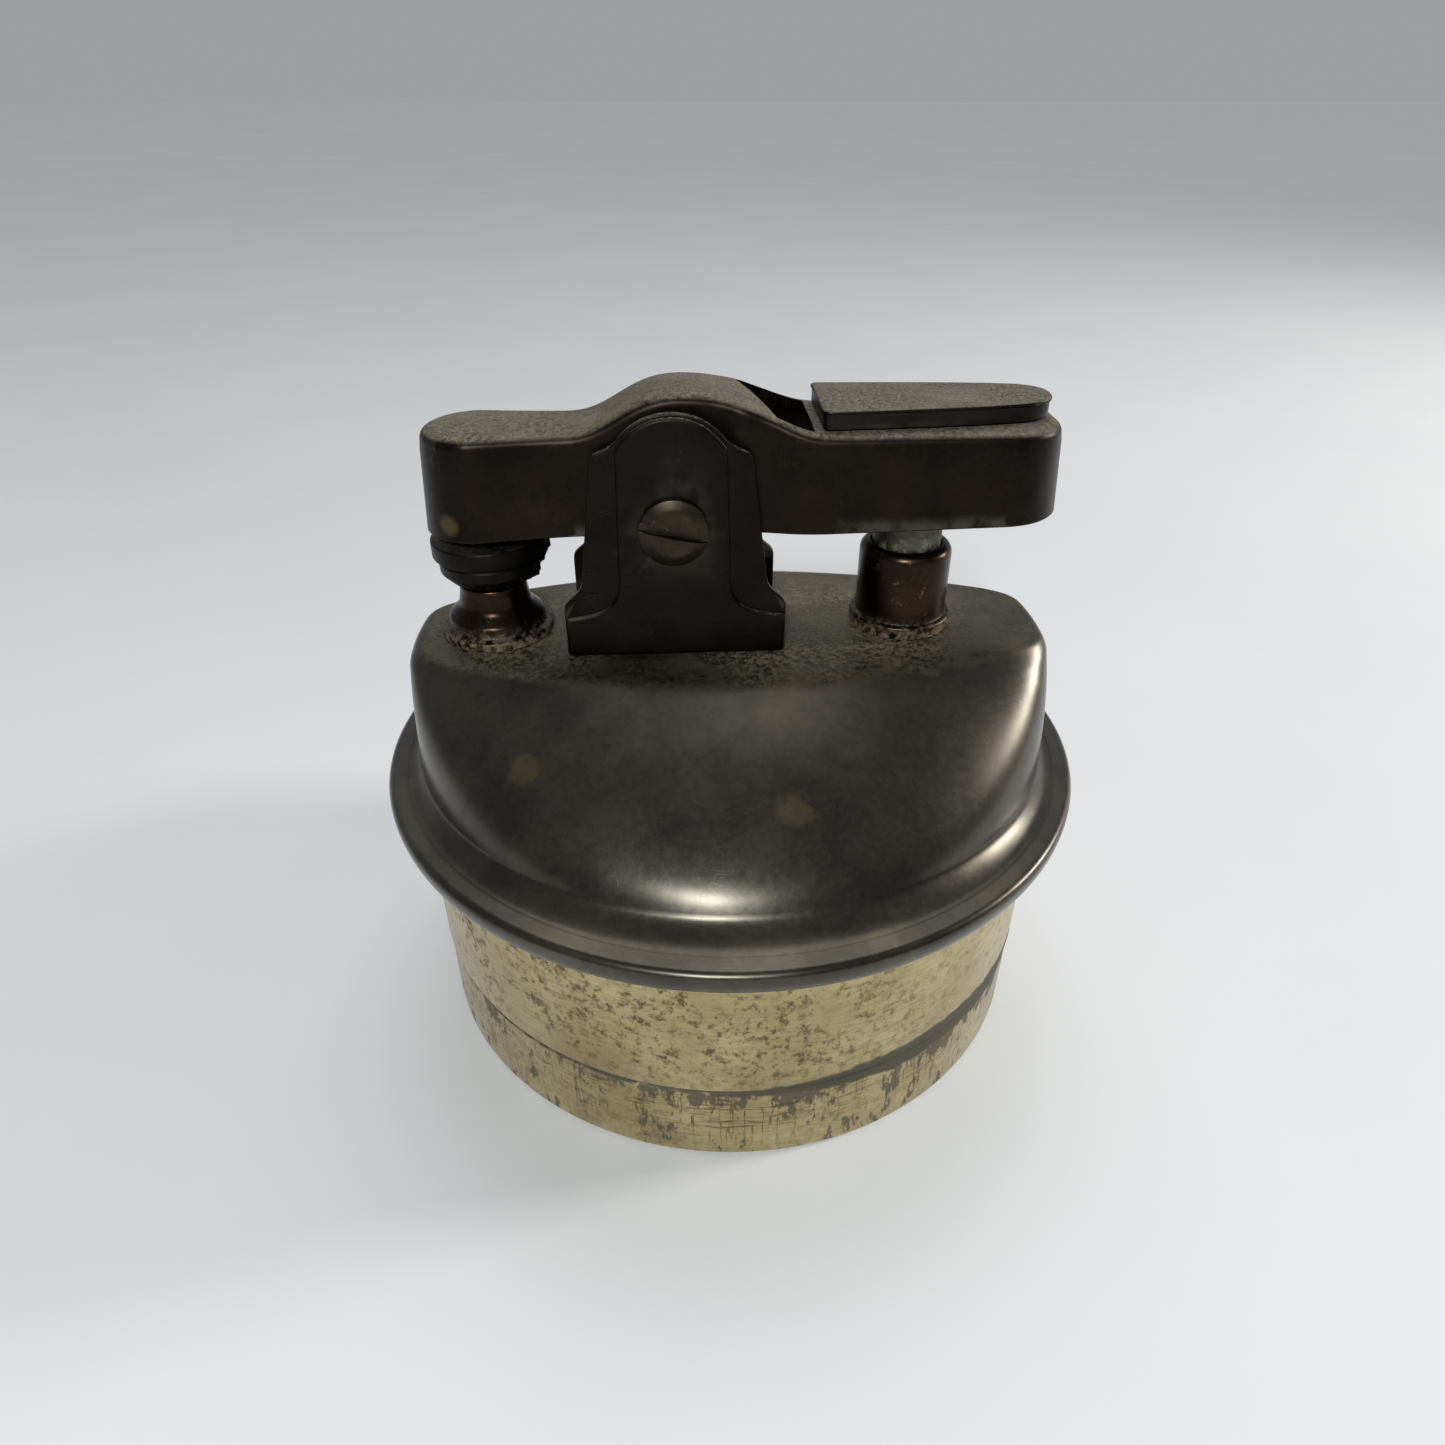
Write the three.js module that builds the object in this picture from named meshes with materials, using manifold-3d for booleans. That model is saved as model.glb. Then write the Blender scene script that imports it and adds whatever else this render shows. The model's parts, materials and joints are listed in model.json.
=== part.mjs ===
// Press-action table lighter insert: a round brass fuel cup under a pressed dome, with a wick post,
// a walking-beam arm on a pivot bracket, and a sprung plunger post that returns the arm.
// Millimetres, +Z up, +X towards the thumb pad, origin at the middle of the cup's underside.
import * as THREE from 'three';
import { mergeVertices } from 'three/addons/utils/BufferGeometryUtils.js';
import Module from 'manifold-3d';

const wasm = await Module();
wasm.setup();

// ---------------------------------------------------------------- driving dimensions
const SHEET = 0.6;                 // thickness of the pressed covers and plates
const FIT = 0.1;                   // radial clearance of a running fit
const GAP = 0.3;                   // clearance between pieces that are soldered or rest on each other
const BITE = 1;                    // how far a cutting tool reaches past the face it cuts

const FLANGE_R = 28;               // outer radius of the rolled flange
const CUP_R = 25.6;                // outer radius of the fuel cup
const PLATEAU_Z = 32.1;            // flat top of the dome
const PLATEAU_HALF_WIDTH = 9.35;   // half the width of the flat top, at its middle
const PIVOT_X = -4.3;              // axis that the arm and the spark wheel turn on
const PIVOT_Z = 42;
const WICK_X = -18.2;              // axis of the wick post
const PLUNGER_X = 13.5;            // axis of the plunger post
const FILLER_X = 10;               // axis of the filler screw in the underside
const PLATE_INNER_Y = 4.4;         // inner faces of the bracket's two plates

const ARM_LEFT_X = -22.1;
const ARM_RIGHT_X = 23.7;
const ARM_BOTTOM_LEFT_Z = 40.8;    // the arm rests with its snuffer end slightly low
const ARM_BOTTOM_RIGHT_Z = 41.8;
const ARM_TOP_Z = 48.2;
const HUMP_TOP_Z = 50.8;
const PAD_TOP_Z = 49.75;

// ---------------------------------------------------------------- solids from three.js geometry
function solidOf(geometry) {
  const plain = geometry.clone();
  plain.deleteAttribute('normal');
  plain.deleteAttribute('uv');
  const merged = mergeVertices(plain, 1e-4);
  const corners = merged.index.array;
  const triangles = [];
  for (let i = 0; i < corners.length; i += 3) {
    const [a, b, c] = [corners[i], corners[i + 1], corners[i + 2]];
    if (a !== b && b !== c && c !== a) triangles.push(a, b, c);
  }
  const mesh = new wasm.Mesh({
    numProp: 3,
    vertProperties: new Float32Array(merged.attributes.position.array),
    triVerts: new Uint32Array(triangles),
  });
  return new wasm.Manifold(mesh);
}

function geometryOf(solid) {
  const mesh = solid.getMesh();
  const geometry = new THREE.BufferGeometry();
  geometry.setAttribute('position', new THREE.BufferAttribute(new Float32Array(mesh.vertProperties), 3));
  geometry.setIndex(new THREE.BufferAttribute(new Uint32Array(mesh.triVerts), 1));
  geometry.computeVertexNormals();
  return geometry;
}

// Turned about Z. The profile is [radius, height] pairs, going round the section anticlockwise.
function turned(profile, x = 0, segments = 20) {
  const points = profile.map(([radius, height]) => new THREE.Vector2(radius, height));
  const geometry = new THREE.LatheGeometry(points, segments);
  geometry.rotateX(Math.PI / 2);
  geometry.translate(x, 0, 0);
  return solidOf(geometry);
}

function rod(radius, low, high, x = 0, segments = 20) {
  return turned([[0, low], [radius, low], [radius, high], [0, high]], x, segments);
}

// A ring or tube about Z: its section never meets the axis, so its profile closes on itself.
function tube(inner, outer, low, high, x = 0, segments = 20) {
  const profile = [[inner, low], [outer, low], [outer, high], [inner, high], [inner, low]];
  return turned(profile, x, segments);
}

// The same shapes lying along Y on the pivot axis, or on a parallel axis through (x, z).
function lyingAlongY(solid, x = PIVOT_X, z = PIVOT_Z) {
  return solid.rotate([90, 0, 0]).translate([x, 0, z]);
}

function block(x0, x1, y0, y1, z0, z1) {
  const geometry = new THREE.BoxGeometry(x1 - x0, y1 - y0, z1 - z0);
  geometry.translate((x0 + x1) / 2, (y0 + y1) / 2, (z0 + z1) / 2);
  return solidOf(geometry);
}

// An outline in plan, raised from low to high.
function raised(shape, low, high, curveSegments = 8) {
  const depth = high - low;
  const geometry = new THREE.ExtrudeGeometry(shape, { depth, bevelEnabled: false, curveSegments });
  geometry.translate(0, 0, low);
  return solidOf(geometry);
}

// An outline in side view (x, z), carried across from y0 to y1.
function carriedAcross(shape, y0, y1, curveSegments = 8) {
  const depth = y1 - y0;
  const geometry = new THREE.ExtrudeGeometry(shape, { depth, bevelEnabled: false, curveSegments });
  geometry.rotateX(Math.PI / 2);
  geometry.translate(0, y1, 0);
  return solidOf(geometry);
}

class Helix extends THREE.Curve {
  constructor(radius, low, high, turns, x) {
    super();
    Object.assign(this, { radius, low, high, turns, x });
  }

  getPoint(t, target = new THREE.Vector3()) {
    const angle = 2 * Math.PI * this.turns * t;
    const height = this.low + (this.high - this.low) * t;
    return target.set(this.x + this.radius * Math.cos(angle), this.radius * Math.sin(angle), height);
  }
}

// low and high are the outer ends of the spring.
function coilSpring(coilRadius, wireRadius, low, high, turns, x) {
  const section = new THREE.Shape().absarc(0, 0, wireRadius, 0, 2 * Math.PI);
  const path = new Helix(coilRadius, low + wireRadius, high - wireRadius, turns, x);
  const geometry = new THREE.ExtrudeGeometry(section, {
    extrudePath: path, steps: Math.round(turns * 8), curveSegments: 4, bevelEnabled: false,
  });
  return solidOf(geometry);
}

function joined(...solids) {
  return solids.reduce((whole, solid) => whole.add(solid));
}

function cut(solid, ...tools) {
  return tools.reduce((rest, tool) => rest.subtract(tool), solid);
}

// ---------------------------------------------------------------- fuel cup and what closes it
const CUP_WALL = 0.7;
const CUP_RIM_Z = 20.6;
const CUP_SEAM_Z = 7.5;            // below this line the cup is a little smaller
const CUP_SEAM_STEP = 0.12;
const FLOOR_LOW = 1.6;             // the middle of the floor is raised, so that the screws stay clear
const FLOOR_HIGH = 2.4;
const FOOT_INNER_R = 21.4;         // the cup stands on the ring from here to its bottom corner
const FOOT_OUTER_R = 25;
const TUBE_BORE = 1.35;            // bore that the flint runs in
const TUBE_R = 2;
const FILLER_R = 1.9;

function tankCup() {
  const lowerR = CUP_R - CUP_SEAM_STEP;
  const body = turned([
    [0, FLOOR_LOW], [FOOT_INNER_R - 0.5, FLOOR_LOW], [FOOT_INNER_R, 0], [FOOT_OUTER_R, 0],
    [lowerR, lowerR - FOOT_OUTER_R], [lowerR, CUP_SEAM_Z], [CUP_R, CUP_SEAM_Z + CUP_SEAM_STEP],
    [CUP_R, CUP_RIM_Z], [CUP_R - CUP_WALL, CUP_RIM_Z], [CUP_R - CUP_WALL, 0.9],
    [FOOT_INNER_R + 0.5, 0.9], [FOOT_INNER_R, FLOOR_HIGH], [0, FLOOR_HIGH],
  ], 0, 56);
  const flintHole = rod(TUBE_R + FIT, FLOOR_LOW - BITE, FLOOR_HIGH + BITE, PIVOT_X);
  const fillerHole = rod(FILLER_R + 0.2, FLOOR_LOW - BITE, FLOOR_HIGH + BITE, FILLER_X);
  return cut(body, flintHole, fillerHole);
}

const BUSH_R = 3.2;
const BUSH_TOP_Z = 4.8;
const WADDING_TOP_Z = 20.2;
const WICK_R = 1;

function tankWadding() {
  const low = FLOOR_HIGH + GAP;
  const body = rod(CUP_R - CUP_WALL - GAP - 2.8, low, WADDING_TOP_Z, 0, 40);
  const tubeHole = rod(TUBE_R + GAP, low - BITE, WADDING_TOP_Z + BITE, PIVOT_X, 16);
  const wickHole = rod(WICK_R + 0.15, low - BITE, WADDING_TOP_Z + BITE, WICK_X, 16);
  const bushPocket = rod(BUSH_R + GAP, low - BITE, BUSH_TOP_Z + 2 * GAP, FILLER_X, 16);
  return cut(body, tubeHole, wickHole, bushPocket);
}

function fillerBush() {
  return tube(FILLER_R + FIT, BUSH_R, FLOOR_HIGH + 0.05, BUSH_TOP_Z, FILLER_X);
}

// A screw in the underside, with a slotted head that stays above the plane the cup stands on.
function baseScrew(headR, shankR, headLow, headHigh, shankTop, x) {
  const body = turned(
    [[0, headLow], [headR - 0.2, headLow], [headR, headLow + 0.2], [headR, headHigh],
      [shankR, headHigh], [shankR, shankTop], [0, shankTop]], x);
  const slot = block(x - headR - BITE, x + headR + BITE, -0.3, 0.3, headLow - BITE, headLow + 0.4);
  return cut(body, slot);
}

const SCREW_LOW = 0.35;
const WASHER_LOW = 1.25;

function fillerScrew() {
  return baseScrew(3.5, FILLER_R, SCREW_LOW, WASHER_LOW - 0.05, BUSH_TOP_Z - 0.4, FILLER_X);
}

function fillerWasher() {
  return tube(FILLER_R + FIT, 3.5, WASHER_LOW, FLOOR_LOW - 0.05, FILLER_X);
}

const FLINT_SCREW_TOP = 6;

function flintScrew() {
  return baseScrew(2.7, TUBE_BORE - FIT, SCREW_LOW, WASHER_LOW, FLINT_SCREW_TOP, PIVOT_X);
}

// ---------------------------------------------------------------- dome shell
// The dome is a turned body whose front and back are pressed in: at each height its radius is the
// smaller of the end wall's and the front face's, with the ridge between them rounded.
const FLANGE_TOP_Z = 22.1;
const FLANGE_UNDER_Z = 19.6;
const EDGE_ROUND = 0.55;           // top edge of the flange
const EDGE_Z = 21;                 // height at which the flange is widest
const END_WALL_R = 25.2;           // at the foot of the end walls, above the fillet
const END_WALL_TOP_R = 24.9;
const FILLET = 1.3;                // at the foot of the walls, and round the plateau
const FACE_TOP_RADIUS = 61;        // radius of the front face in plan, at the plateau
const FACE_FOOT_RADIUS = 26.5;     // the same, where it meets the flange
const FACE_BULGE = 0.6;
const RIDGE_ROUND = 2.4;
const DOME_SEGMENTS = 56;
const SHELL = 0.9;

const FOOT_Z = FLANGE_TOP_Z + FILLET;
const SHOULDER_OF_DOME_Z = PLATEAU_Z - FILLET;

// How far a quarter round of radius FILLET has come in at a distance past its start.
function quarterRound(past) {
  return FILLET - Math.sqrt(FILLET ** 2 - Math.min(Math.max(past, 0), FILLET) ** 2);
}

function endWallRadius(z) {
  const share = Math.min(Math.max((z - FOOT_Z) / (SHOULDER_OF_DOME_Z - FOOT_Z), 0), 1);
  return END_WALL_R + (END_WALL_TOP_R - END_WALL_R) * share - quarterRound(z - SHOULDER_OF_DOME_Z);
}

// Distance from the axis to the front or back face, looking along an angle measured from the Y axis.
function faceRadius(angle, z) {
  const drop = (PLATEAU_Z - z) / (PLATEAU_Z - FLANGE_TOP_Z);
  const reach = (1 + FACE_BULGE) * drop - FACE_BULGE * drop ** 2;
  const halfWidth = PLATEAU_HALF_WIDTH + (END_WALL_R - PLATEAU_HALF_WIDTH) * reach;
  const turn = Math.pow(Math.max(drop, 0), 0.7);
  const planRadius = 1 / ((1 - turn) / FACE_TOP_RADIUS + turn / FACE_FOOT_RADIUS);
  const centre = planRadius - halfWidth;
  const across = centre * Math.sin(angle);
  return -centre * Math.abs(Math.cos(angle)) + Math.sqrt(planRadius ** 2 - across ** 2);
}

function roundedMinimum(a, b, round) {
  const near = Math.max(round - Math.abs(a - b), 0) / round;
  return Math.min(a, b) - near * near * round / 4;
}

// Presses the front and back faces into a turned body, with everything set inwards by inset.
function pressedFaces(profile, inset) {
  const points = profile.map(([radius, height]) => new THREE.Vector2(radius, height));
  const geometry = new THREE.LatheGeometry(points, DOME_SEGMENTS);
  geometry.rotateX(Math.PI / 2);
  const position = geometry.attributes.position;
  for (let i = 0; i < position.count; i++) {
    const [x, y, z] = [position.getX(i), position.getY(i), position.getZ(i)];
    const radius = Math.hypot(x, y);
    const outerZ = z + inset;
    if (radius < 1e-6 || outerZ <= FLANGE_TOP_Z) continue;
    const flare = inset ? 0 : quarterRound(FOOT_Z - z);
    const face = faceRadius(Math.atan2(x, y), Math.min(outerZ, PLATEAU_Z)) - inset;
    const blend = RIDGE_ROUND * Math.min(1, outerZ - FLANGE_TOP_Z);
    const scale = (roundedMinimum(radius - flare, face, blend) + flare) / radius;
    position.setXY(i, x * scale, y * scale);
  }
  return solidOf(geometry);
}

function heights(low, high, steps) {
  return Array.from({ length: steps + 1 }, (_, i) => low + (high - low) * i / steps);
}

// Points of an arc of an ellipse about (x, z), from one angle to another in degrees.
function arcPoints(x, z, halfWidth, halfHeight, from, to, steps) {
  return heights(from, to, steps).map((degrees) => {
    const angle = THREE.MathUtils.degToRad(degrees);
    return [x + halfWidth * Math.cos(angle), z + halfHeight * Math.sin(angle)];
  });
}

// The flange is flat on top, with its edge rolled under.
function rolledEdge() {
  const rollWidth = 1.4;
  return [
    ...arcPoints(FLANGE_R - rollWidth, EDGE_Z, rollWidth, EDGE_Z - FLANGE_UNDER_Z, -80, 0, 4),
    ...arcPoints(FLANGE_R - EDGE_ROUND, FLANGE_TOP_Z - 0.05 - EDGE_ROUND, EDGE_ROUND, EDGE_ROUND, 0, 90, 3),
  ];
}

const BRACKET_SCREW_X = [-5.6, 5.6].map((offset) => PIVOT_X + offset);
const BRACKET_SCREW_R = 0.8;
const WELL_R = 3.1;                // plunger tube where it goes down through the dome
const WICK_TAIL_R = 1.9;           // wick tube where it goes down through the dome

function domeShell() {
  const wallHeights = [FLANGE_TOP_Z, FLANGE_TOP_Z + 0.15, ...heights(FLANGE_TOP_Z + 0.5, FOOT_Z, 2),
    ...heights(FOOT_Z + 1.5, SHOULDER_OF_DOME_Z, 4), ...heights(SHOULDER_OF_DOME_Z + 0.6, PLATEAU_Z, 2)];
  const outer = pressedFaces([
    [0, FLANGE_UNDER_Z], ...rolledEdge(),
    ...wallHeights.map((z) => [endWallRadius(z) + quarterRound(FOOT_Z - z), z]), [0, PLATEAU_Z],
  ], 0);
  const ledge = CUP_RIM_Z + GAP + 0.1;
  const innerHeights = heights(ledge, PLATEAU_Z - SHELL, 4);
  const inner = pressedFaces([
    [0, FLANGE_UNDER_Z - BITE], [CUP_R + GAP, FLANGE_UNDER_Z - BITE], [CUP_R + GAP, ledge],
    ...innerHeights.map((z) => [END_WALL_TOP_R - SHELL, z]), [0, PLATEAU_Z - SHELL],
  ], SHELL);
  const [low, high] = [PLATEAU_Z - SHELL - BITE, PLATEAU_Z + BITE];
  const screwHoles = BRACKET_SCREW_X.map((x) => rod(BRACKET_SCREW_R + FIT, low, high, x, 12));
  return cut(outer, inner,
    rod(TUBE_R + FIT, low, high, PIVOT_X),
    rod(WICK_TAIL_R + FIT, low, high, WICK_X),
    rod(WELL_R + FIT, low, high, PLUNGER_X),
    ...screwHoles);
}

// ---------------------------------------------------------------- pivot bracket
const BRACKET_BASE_HALF = 8.1;
const BRACKET_FOOT_Z = PLATEAU_Z + 0.1;
const BASE_THICK = 0.8;
const PANEL_RAISE = 0.35;          // the middle panel of each plate stands out by this much
const ARCH_TOP_Z = 50;
const SHOULDER_Z = 47.3;
const AXLE_R = 1.15;

// Half outlines are drawn on the right of the pivot axis and mirrored.
function mirroredPlate(drawRightHalf) {
  const half = new THREE.Shape();
  drawRightHalf(half);
  const right = half.getPoints(6);
  const left = right.slice(1, -1).reverse().map((point) => new THREE.Vector2(-point.x, point.y));
  const outline = [...right, ...left].map((point) => new THREE.Vector2(point.x + PIVOT_X, point.y));
  return new THREE.Shape(outline);
}

// Wide foot with vertical ends, an S-shaped flare, tapering sides, small shoulders and an arched top.
function plateOutline() {
  return mirroredPlate((half) => {
    half.moveTo(0, BRACKET_FOOT_Z);
    half.lineTo(BRACKET_BASE_HALF, BRACKET_FOOT_Z);
    half.lineTo(BRACKET_BASE_HALF, 35.8);
    half.bezierCurveTo(BRACKET_BASE_HALF, 36.8, 6.9, 36.6, 6.65, 38.1);
    half.lineTo(5.6, SHOULDER_Z - 0.6);
    half.quadraticCurveTo(5.5, SHOULDER_Z, 4.9, SHOULDER_Z + 0.15);
    half.quadraticCurveTo(4.1, SHOULDER_Z + 0.4, 3.7, SHOULDER_Z + 0.9);
    half.bezierCurveTo(2.9, 49.2, 1.7, ARCH_TOP_Z, 0, ARCH_TOP_Z);
  });
}

// The raised panel: straight sides under the arch, spreading to the full width of the foot.
function panelOutline() {
  return mirroredPlate((half) => {
    half.moveTo(0, BRACKET_FOOT_Z + 0.05);
    half.lineTo(BRACKET_BASE_HALF - 0.1, BRACKET_FOOT_Z + 0.05);
    half.lineTo(BRACKET_BASE_HALF - 0.1, 35.2);
    half.bezierCurveTo(6, 35.6, 4.1, 35.6, 4, 38);
    half.lineTo(3.8, SHOULDER_Z + 0.4);
    half.bezierCurveTo(2.8, 49, 1.7, ARCH_TOP_Z - 0.2, 0, ARCH_TOP_Z - 0.2);
  });
}

function pivotBracket() {
  const sides = [-1, 1].flatMap((side) => {
    const across = (from, to) => [side * from, side * to].sort((a, b) => a - b);
    const plate = carriedAcross(plateOutline(), ...across(PLATE_INNER_Y, PLATE_INNER_Y + SHEET));
    const panelFrom = PLATE_INNER_Y + SHEET / 2;
    const panelTo = PLATE_INNER_Y + SHEET + PANEL_RAISE;
    return [plate, carriedAcross(panelOutline(), ...across(panelFrom, panelTo))];
  });
  const baseTop = BRACKET_FOOT_Z + BASE_THICK;
  const [left, right] = [PIVOT_X - BRACKET_BASE_HALF, PIVOT_X + BRACKET_BASE_HALF];
  const base = block(left, right, -PLATE_INNER_Y - 0.1, PLATE_INNER_Y + 0.1, BRACKET_FOOT_Z, baseTop);
  const axleHole = lyingAlongY(rod(AXLE_R + 0.05, -10, 10));
  const tubeHole = rod(TUBE_R + FIT, BRACKET_FOOT_Z - BITE, baseTop + BITE, PIVOT_X);
  const screwHoles = BRACKET_SCREW_X.map(
    (x) => rod(BRACKET_SCREW_R + FIT, BRACKET_FOOT_Z - BITE, baseTop + BITE, x, 12));
  return cut(joined(...sides, base), axleHole, tubeHole, ...screwHoles);
}

function bracketScrew(x) {
  const seat = BRACKET_FOOT_Z + BASE_THICK + 0.05;
  const body = turned([
    [0, PLATEAU_Z - SHELL - 1.6], [BRACKET_SCREW_R, PLATEAU_Z - SHELL - 1.6], [BRACKET_SCREW_R, seat],
    [1.6, seat], [1.5, seat + 0.5], [0.8, seat + 0.9], [0, seat + 1],
  ], x, 16);
  return cut(body, block(x - 2, x + 2, -0.2, 0.2, seat + 0.6, seat + 2));
}

// ---------------------------------------------------------------- axle, wheel and flint
const SCREW_SEAT_Y = PLATE_INNER_Y + SHEET + PANEL_RAISE + 0.05;
const SCREW_HEAD_R = 2.45;
const SCREW_HEAD_TOP = SCREW_SEAT_Y + 0.85;
const SLOT_TILT = -12;             // degrees, as the screw happens to stop
const BUSH_OUTER_R = 1.8;
const RUNNING_R = BUSH_OUTER_R + 0.08;
const WHEEL_R = 6.5;
const WHEEL_HALF_WIDTH = 1.2;
const RATCHET_R = 4.6;

// Turning a solid about X by +90 degrees carries its +Z end to -Y, which is the front.
function pivotScrew() {
  const body = turned([
    [0, -SCREW_SEAT_Y], [AXLE_R, -SCREW_SEAT_Y], [AXLE_R, SCREW_SEAT_Y], [SCREW_HEAD_R, SCREW_SEAT_Y],
    [SCREW_HEAD_R, SCREW_SEAT_Y + 0.4], [SCREW_HEAD_R - 0.4, SCREW_SEAT_Y + 0.7], [0, SCREW_HEAD_TOP],
  ]);
  const slot = block(-3, 3, -0.28, 0.28, SCREW_HEAD_TOP - 0.5, SCREW_HEAD_TOP + BITE);
  return lyingAlongY(cut(body, slot.rotate([0, 0, SLOT_TILT])));
}

function axleBush() {
  return lyingAlongY(tube(AXLE_R + FIT, BUSH_OUTER_R, -PLATE_INNER_Y + 0.05, PLATE_INNER_Y - 0.05));
}

function pivotWasher(side) {
  const [near, far] = [PLATE_INNER_Y - 0.45, PLATE_INNER_Y - 0.1];
  const [low, high] = [-side * near, -side * far].sort((a, b) => a - b);
  return lyingAlongY(tube(RUNNING_R, 2.9, low, high));
}

// A toothed disc about Z: teeth lean by lean, from 0 for even teeth to 0.5 for saw teeth.
function toothedDisc(teeth, tipR, rootR, lean, low, high) {
  const outline = [];
  for (let i = 0; i < teeth; i++) {
    const root = 2 * Math.PI * i / teeth;
    const tip = 2 * Math.PI * (i + 0.5 + lean * 0.9) / teeth;
    outline.push(new THREE.Vector2(rootR * Math.cos(root), rootR * Math.sin(root)));
    outline.push(new THREE.Vector2(tipR * Math.cos(tip), tipR * Math.sin(tip)));
  }
  return cut(raised(new THREE.Shape(outline), low, high), rod(RUNNING_R, low - BITE, high + BITE));
}

function sparkWheel() {
  return lyingAlongY(toothedDisc(40, WHEEL_R, WHEEL_R - 0.35, 0, -WHEEL_HALF_WIDTH, WHEEL_HALF_WIDTH));
}

const RATCHET_NEAR = WHEEL_HALF_WIDTH + 0.05;
const RATCHET_FAR = RATCHET_NEAR + 1.1;

function ratchetWheel() {
  return lyingAlongY(toothedDisc(12, RATCHET_R, RATCHET_R - 0.5, 0.5, -RATCHET_FAR, -RATCHET_NEAR));
}

const FLINT_TOP = PIVOT_Z - WHEEL_R - 0.1;
const FLINT_TUBE_TOP = FLINT_TOP - 0.6;
const FLINT_LENGTH = 5;
const FOLLOWER_TOP = FLINT_TOP - FLINT_LENGTH - 0.05;
const FOLLOWER_LENGTH = 2.2;
const FOLLOWER_CAP = 0.8;

function flintTube() {
  return tube(TUBE_BORE, TUBE_R, WASHER_LOW + 0.1, FLINT_TUBE_TOP, PIVOT_X);
}

function flintTubeNut() {
  const low = BRACKET_FOOT_Z + BASE_THICK + 0.05;
  const outline = new THREE.Shape();
  for (let i = 0; i < 6; i++) {
    const angle = Math.PI * i / 3;
    const corner = [PIVOT_X + 3.3 * Math.cos(angle), 3.3 * Math.sin(angle)];
    if (i === 0) outline.moveTo(...corner);
    else outline.lineTo(...corner);
  }
  return cut(raised(outline, low, low + 1.2), rod(TUBE_R + FIT, low - BITE, low + 1.2 + BITE, PIVOT_X));
}

function flint() {
  return rod(TUBE_BORE - FIT, FLINT_TOP - FLINT_LENGTH, FLINT_TOP, PIVOT_X, 16);
}

function flintFollower() {
  const low = FOLLOWER_TOP - FOLLOWER_LENGTH;
  const underCap = FOLLOWER_TOP - FOLLOWER_CAP;
  const [capR, pinR] = [TUBE_BORE - FIT, 0.5];
  return turned([[0, low], [pinR, low], [pinR, underCap], [capR, underCap],
    [capR, FOLLOWER_TOP], [0, FOLLOWER_TOP]], PIVOT_X, 16);
}

function flintSpring() {
  const high = FOLLOWER_TOP - FOLLOWER_CAP - 0.05;
  return coilSpring(0.9, 0.2, FLINT_SCREW_TOP + 0.05, high, 10, PIVOT_X);
}

// ---------------------------------------------------------------- wick post
const WICK_TUBE_LOW_Z = 24;
const WICK_SEAT_Z = 36.3;
const WICK_MOUTH_Z = 37.8;

function wickTube() {
  return turned([
    [WICK_R + FIT, WICK_TUBE_LOW_Z], [WICK_TAIL_R, WICK_TUBE_LOW_Z],
    [WICK_TAIL_R, PLATEAU_Z + 0.1], [4.25, PLATEAU_Z + 0.1],
    [4.25, PLATEAU_Z + 0.7], [3.6, PLATEAU_Z + 1.3], [3.5, 34.2], [2.9, 34.8], [2.55, 35.3],
    [2.55, WICK_SEAT_Z], [1.5, WICK_SEAT_Z], [1.5, WICK_MOUTH_Z], [WICK_R + FIT, WICK_MOUTH_Z],
    [WICK_R + FIT, WICK_TUBE_LOW_Z],
  ], WICK_X, 24);
}

function wick() {
  return rod(WICK_R, 6, WICK_MOUTH_Z + 0.8, WICK_X, 12);
}

// ---------------------------------------------------------------- snuffer, carried in the arm
const CAP_LOW_Z = 36.7;
const CAP_SHOULDER_Z = 40.2;
const CAP_HOLLOW_Z = 39.6;
const STEM_R = 0.9;
const STEM_TOP_Z = 45.6;
const HOLDER_LOW_Z = 43.4;

function snufferCap() {
  return turned([
    [0, CAP_HOLLOW_Z], [2.6, CAP_HOLLOW_Z], [2.6, CAP_LOW_Z], [3.1, CAP_LOW_Z], [3.75, 37.4], [3.75, 38.3],
    [4.15, 38.6], [4.15, 39.9], [3.9, CAP_SHOULDER_Z], [2.2, CAP_SHOULDER_Z + 0.2],
    [2.2, CAP_SHOULDER_Z + 0.7], [STEM_R, CAP_SHOULDER_Z + 0.7], [STEM_R, STEM_TOP_Z], [0, STEM_TOP_Z],
  ], WICK_X, 24);
}

function snufferSpring() {
  return coilSpring(1.4, 0.22, CAP_SHOULDER_Z + 0.75, HOLDER_LOW_Z - 0.05, 3, WICK_X);
}

function snufferHolder() {
  const top = ARM_TOP_Z - SHEET - GAP;
  return turned([
    [STEM_R + FIT, HOLDER_LOW_Z], [2.3, HOLDER_LOW_Z], [2.3, top - 0.5], [2.9, top - 0.5], [2.9, top],
    [1.7, top], [1.7, HOLDER_LOW_Z + 0.5], [STEM_R + FIT, HOLDER_LOW_Z + 0.5],
    [STEM_R + FIT, HOLDER_LOW_Z],
  ], WICK_X);
}

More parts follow.
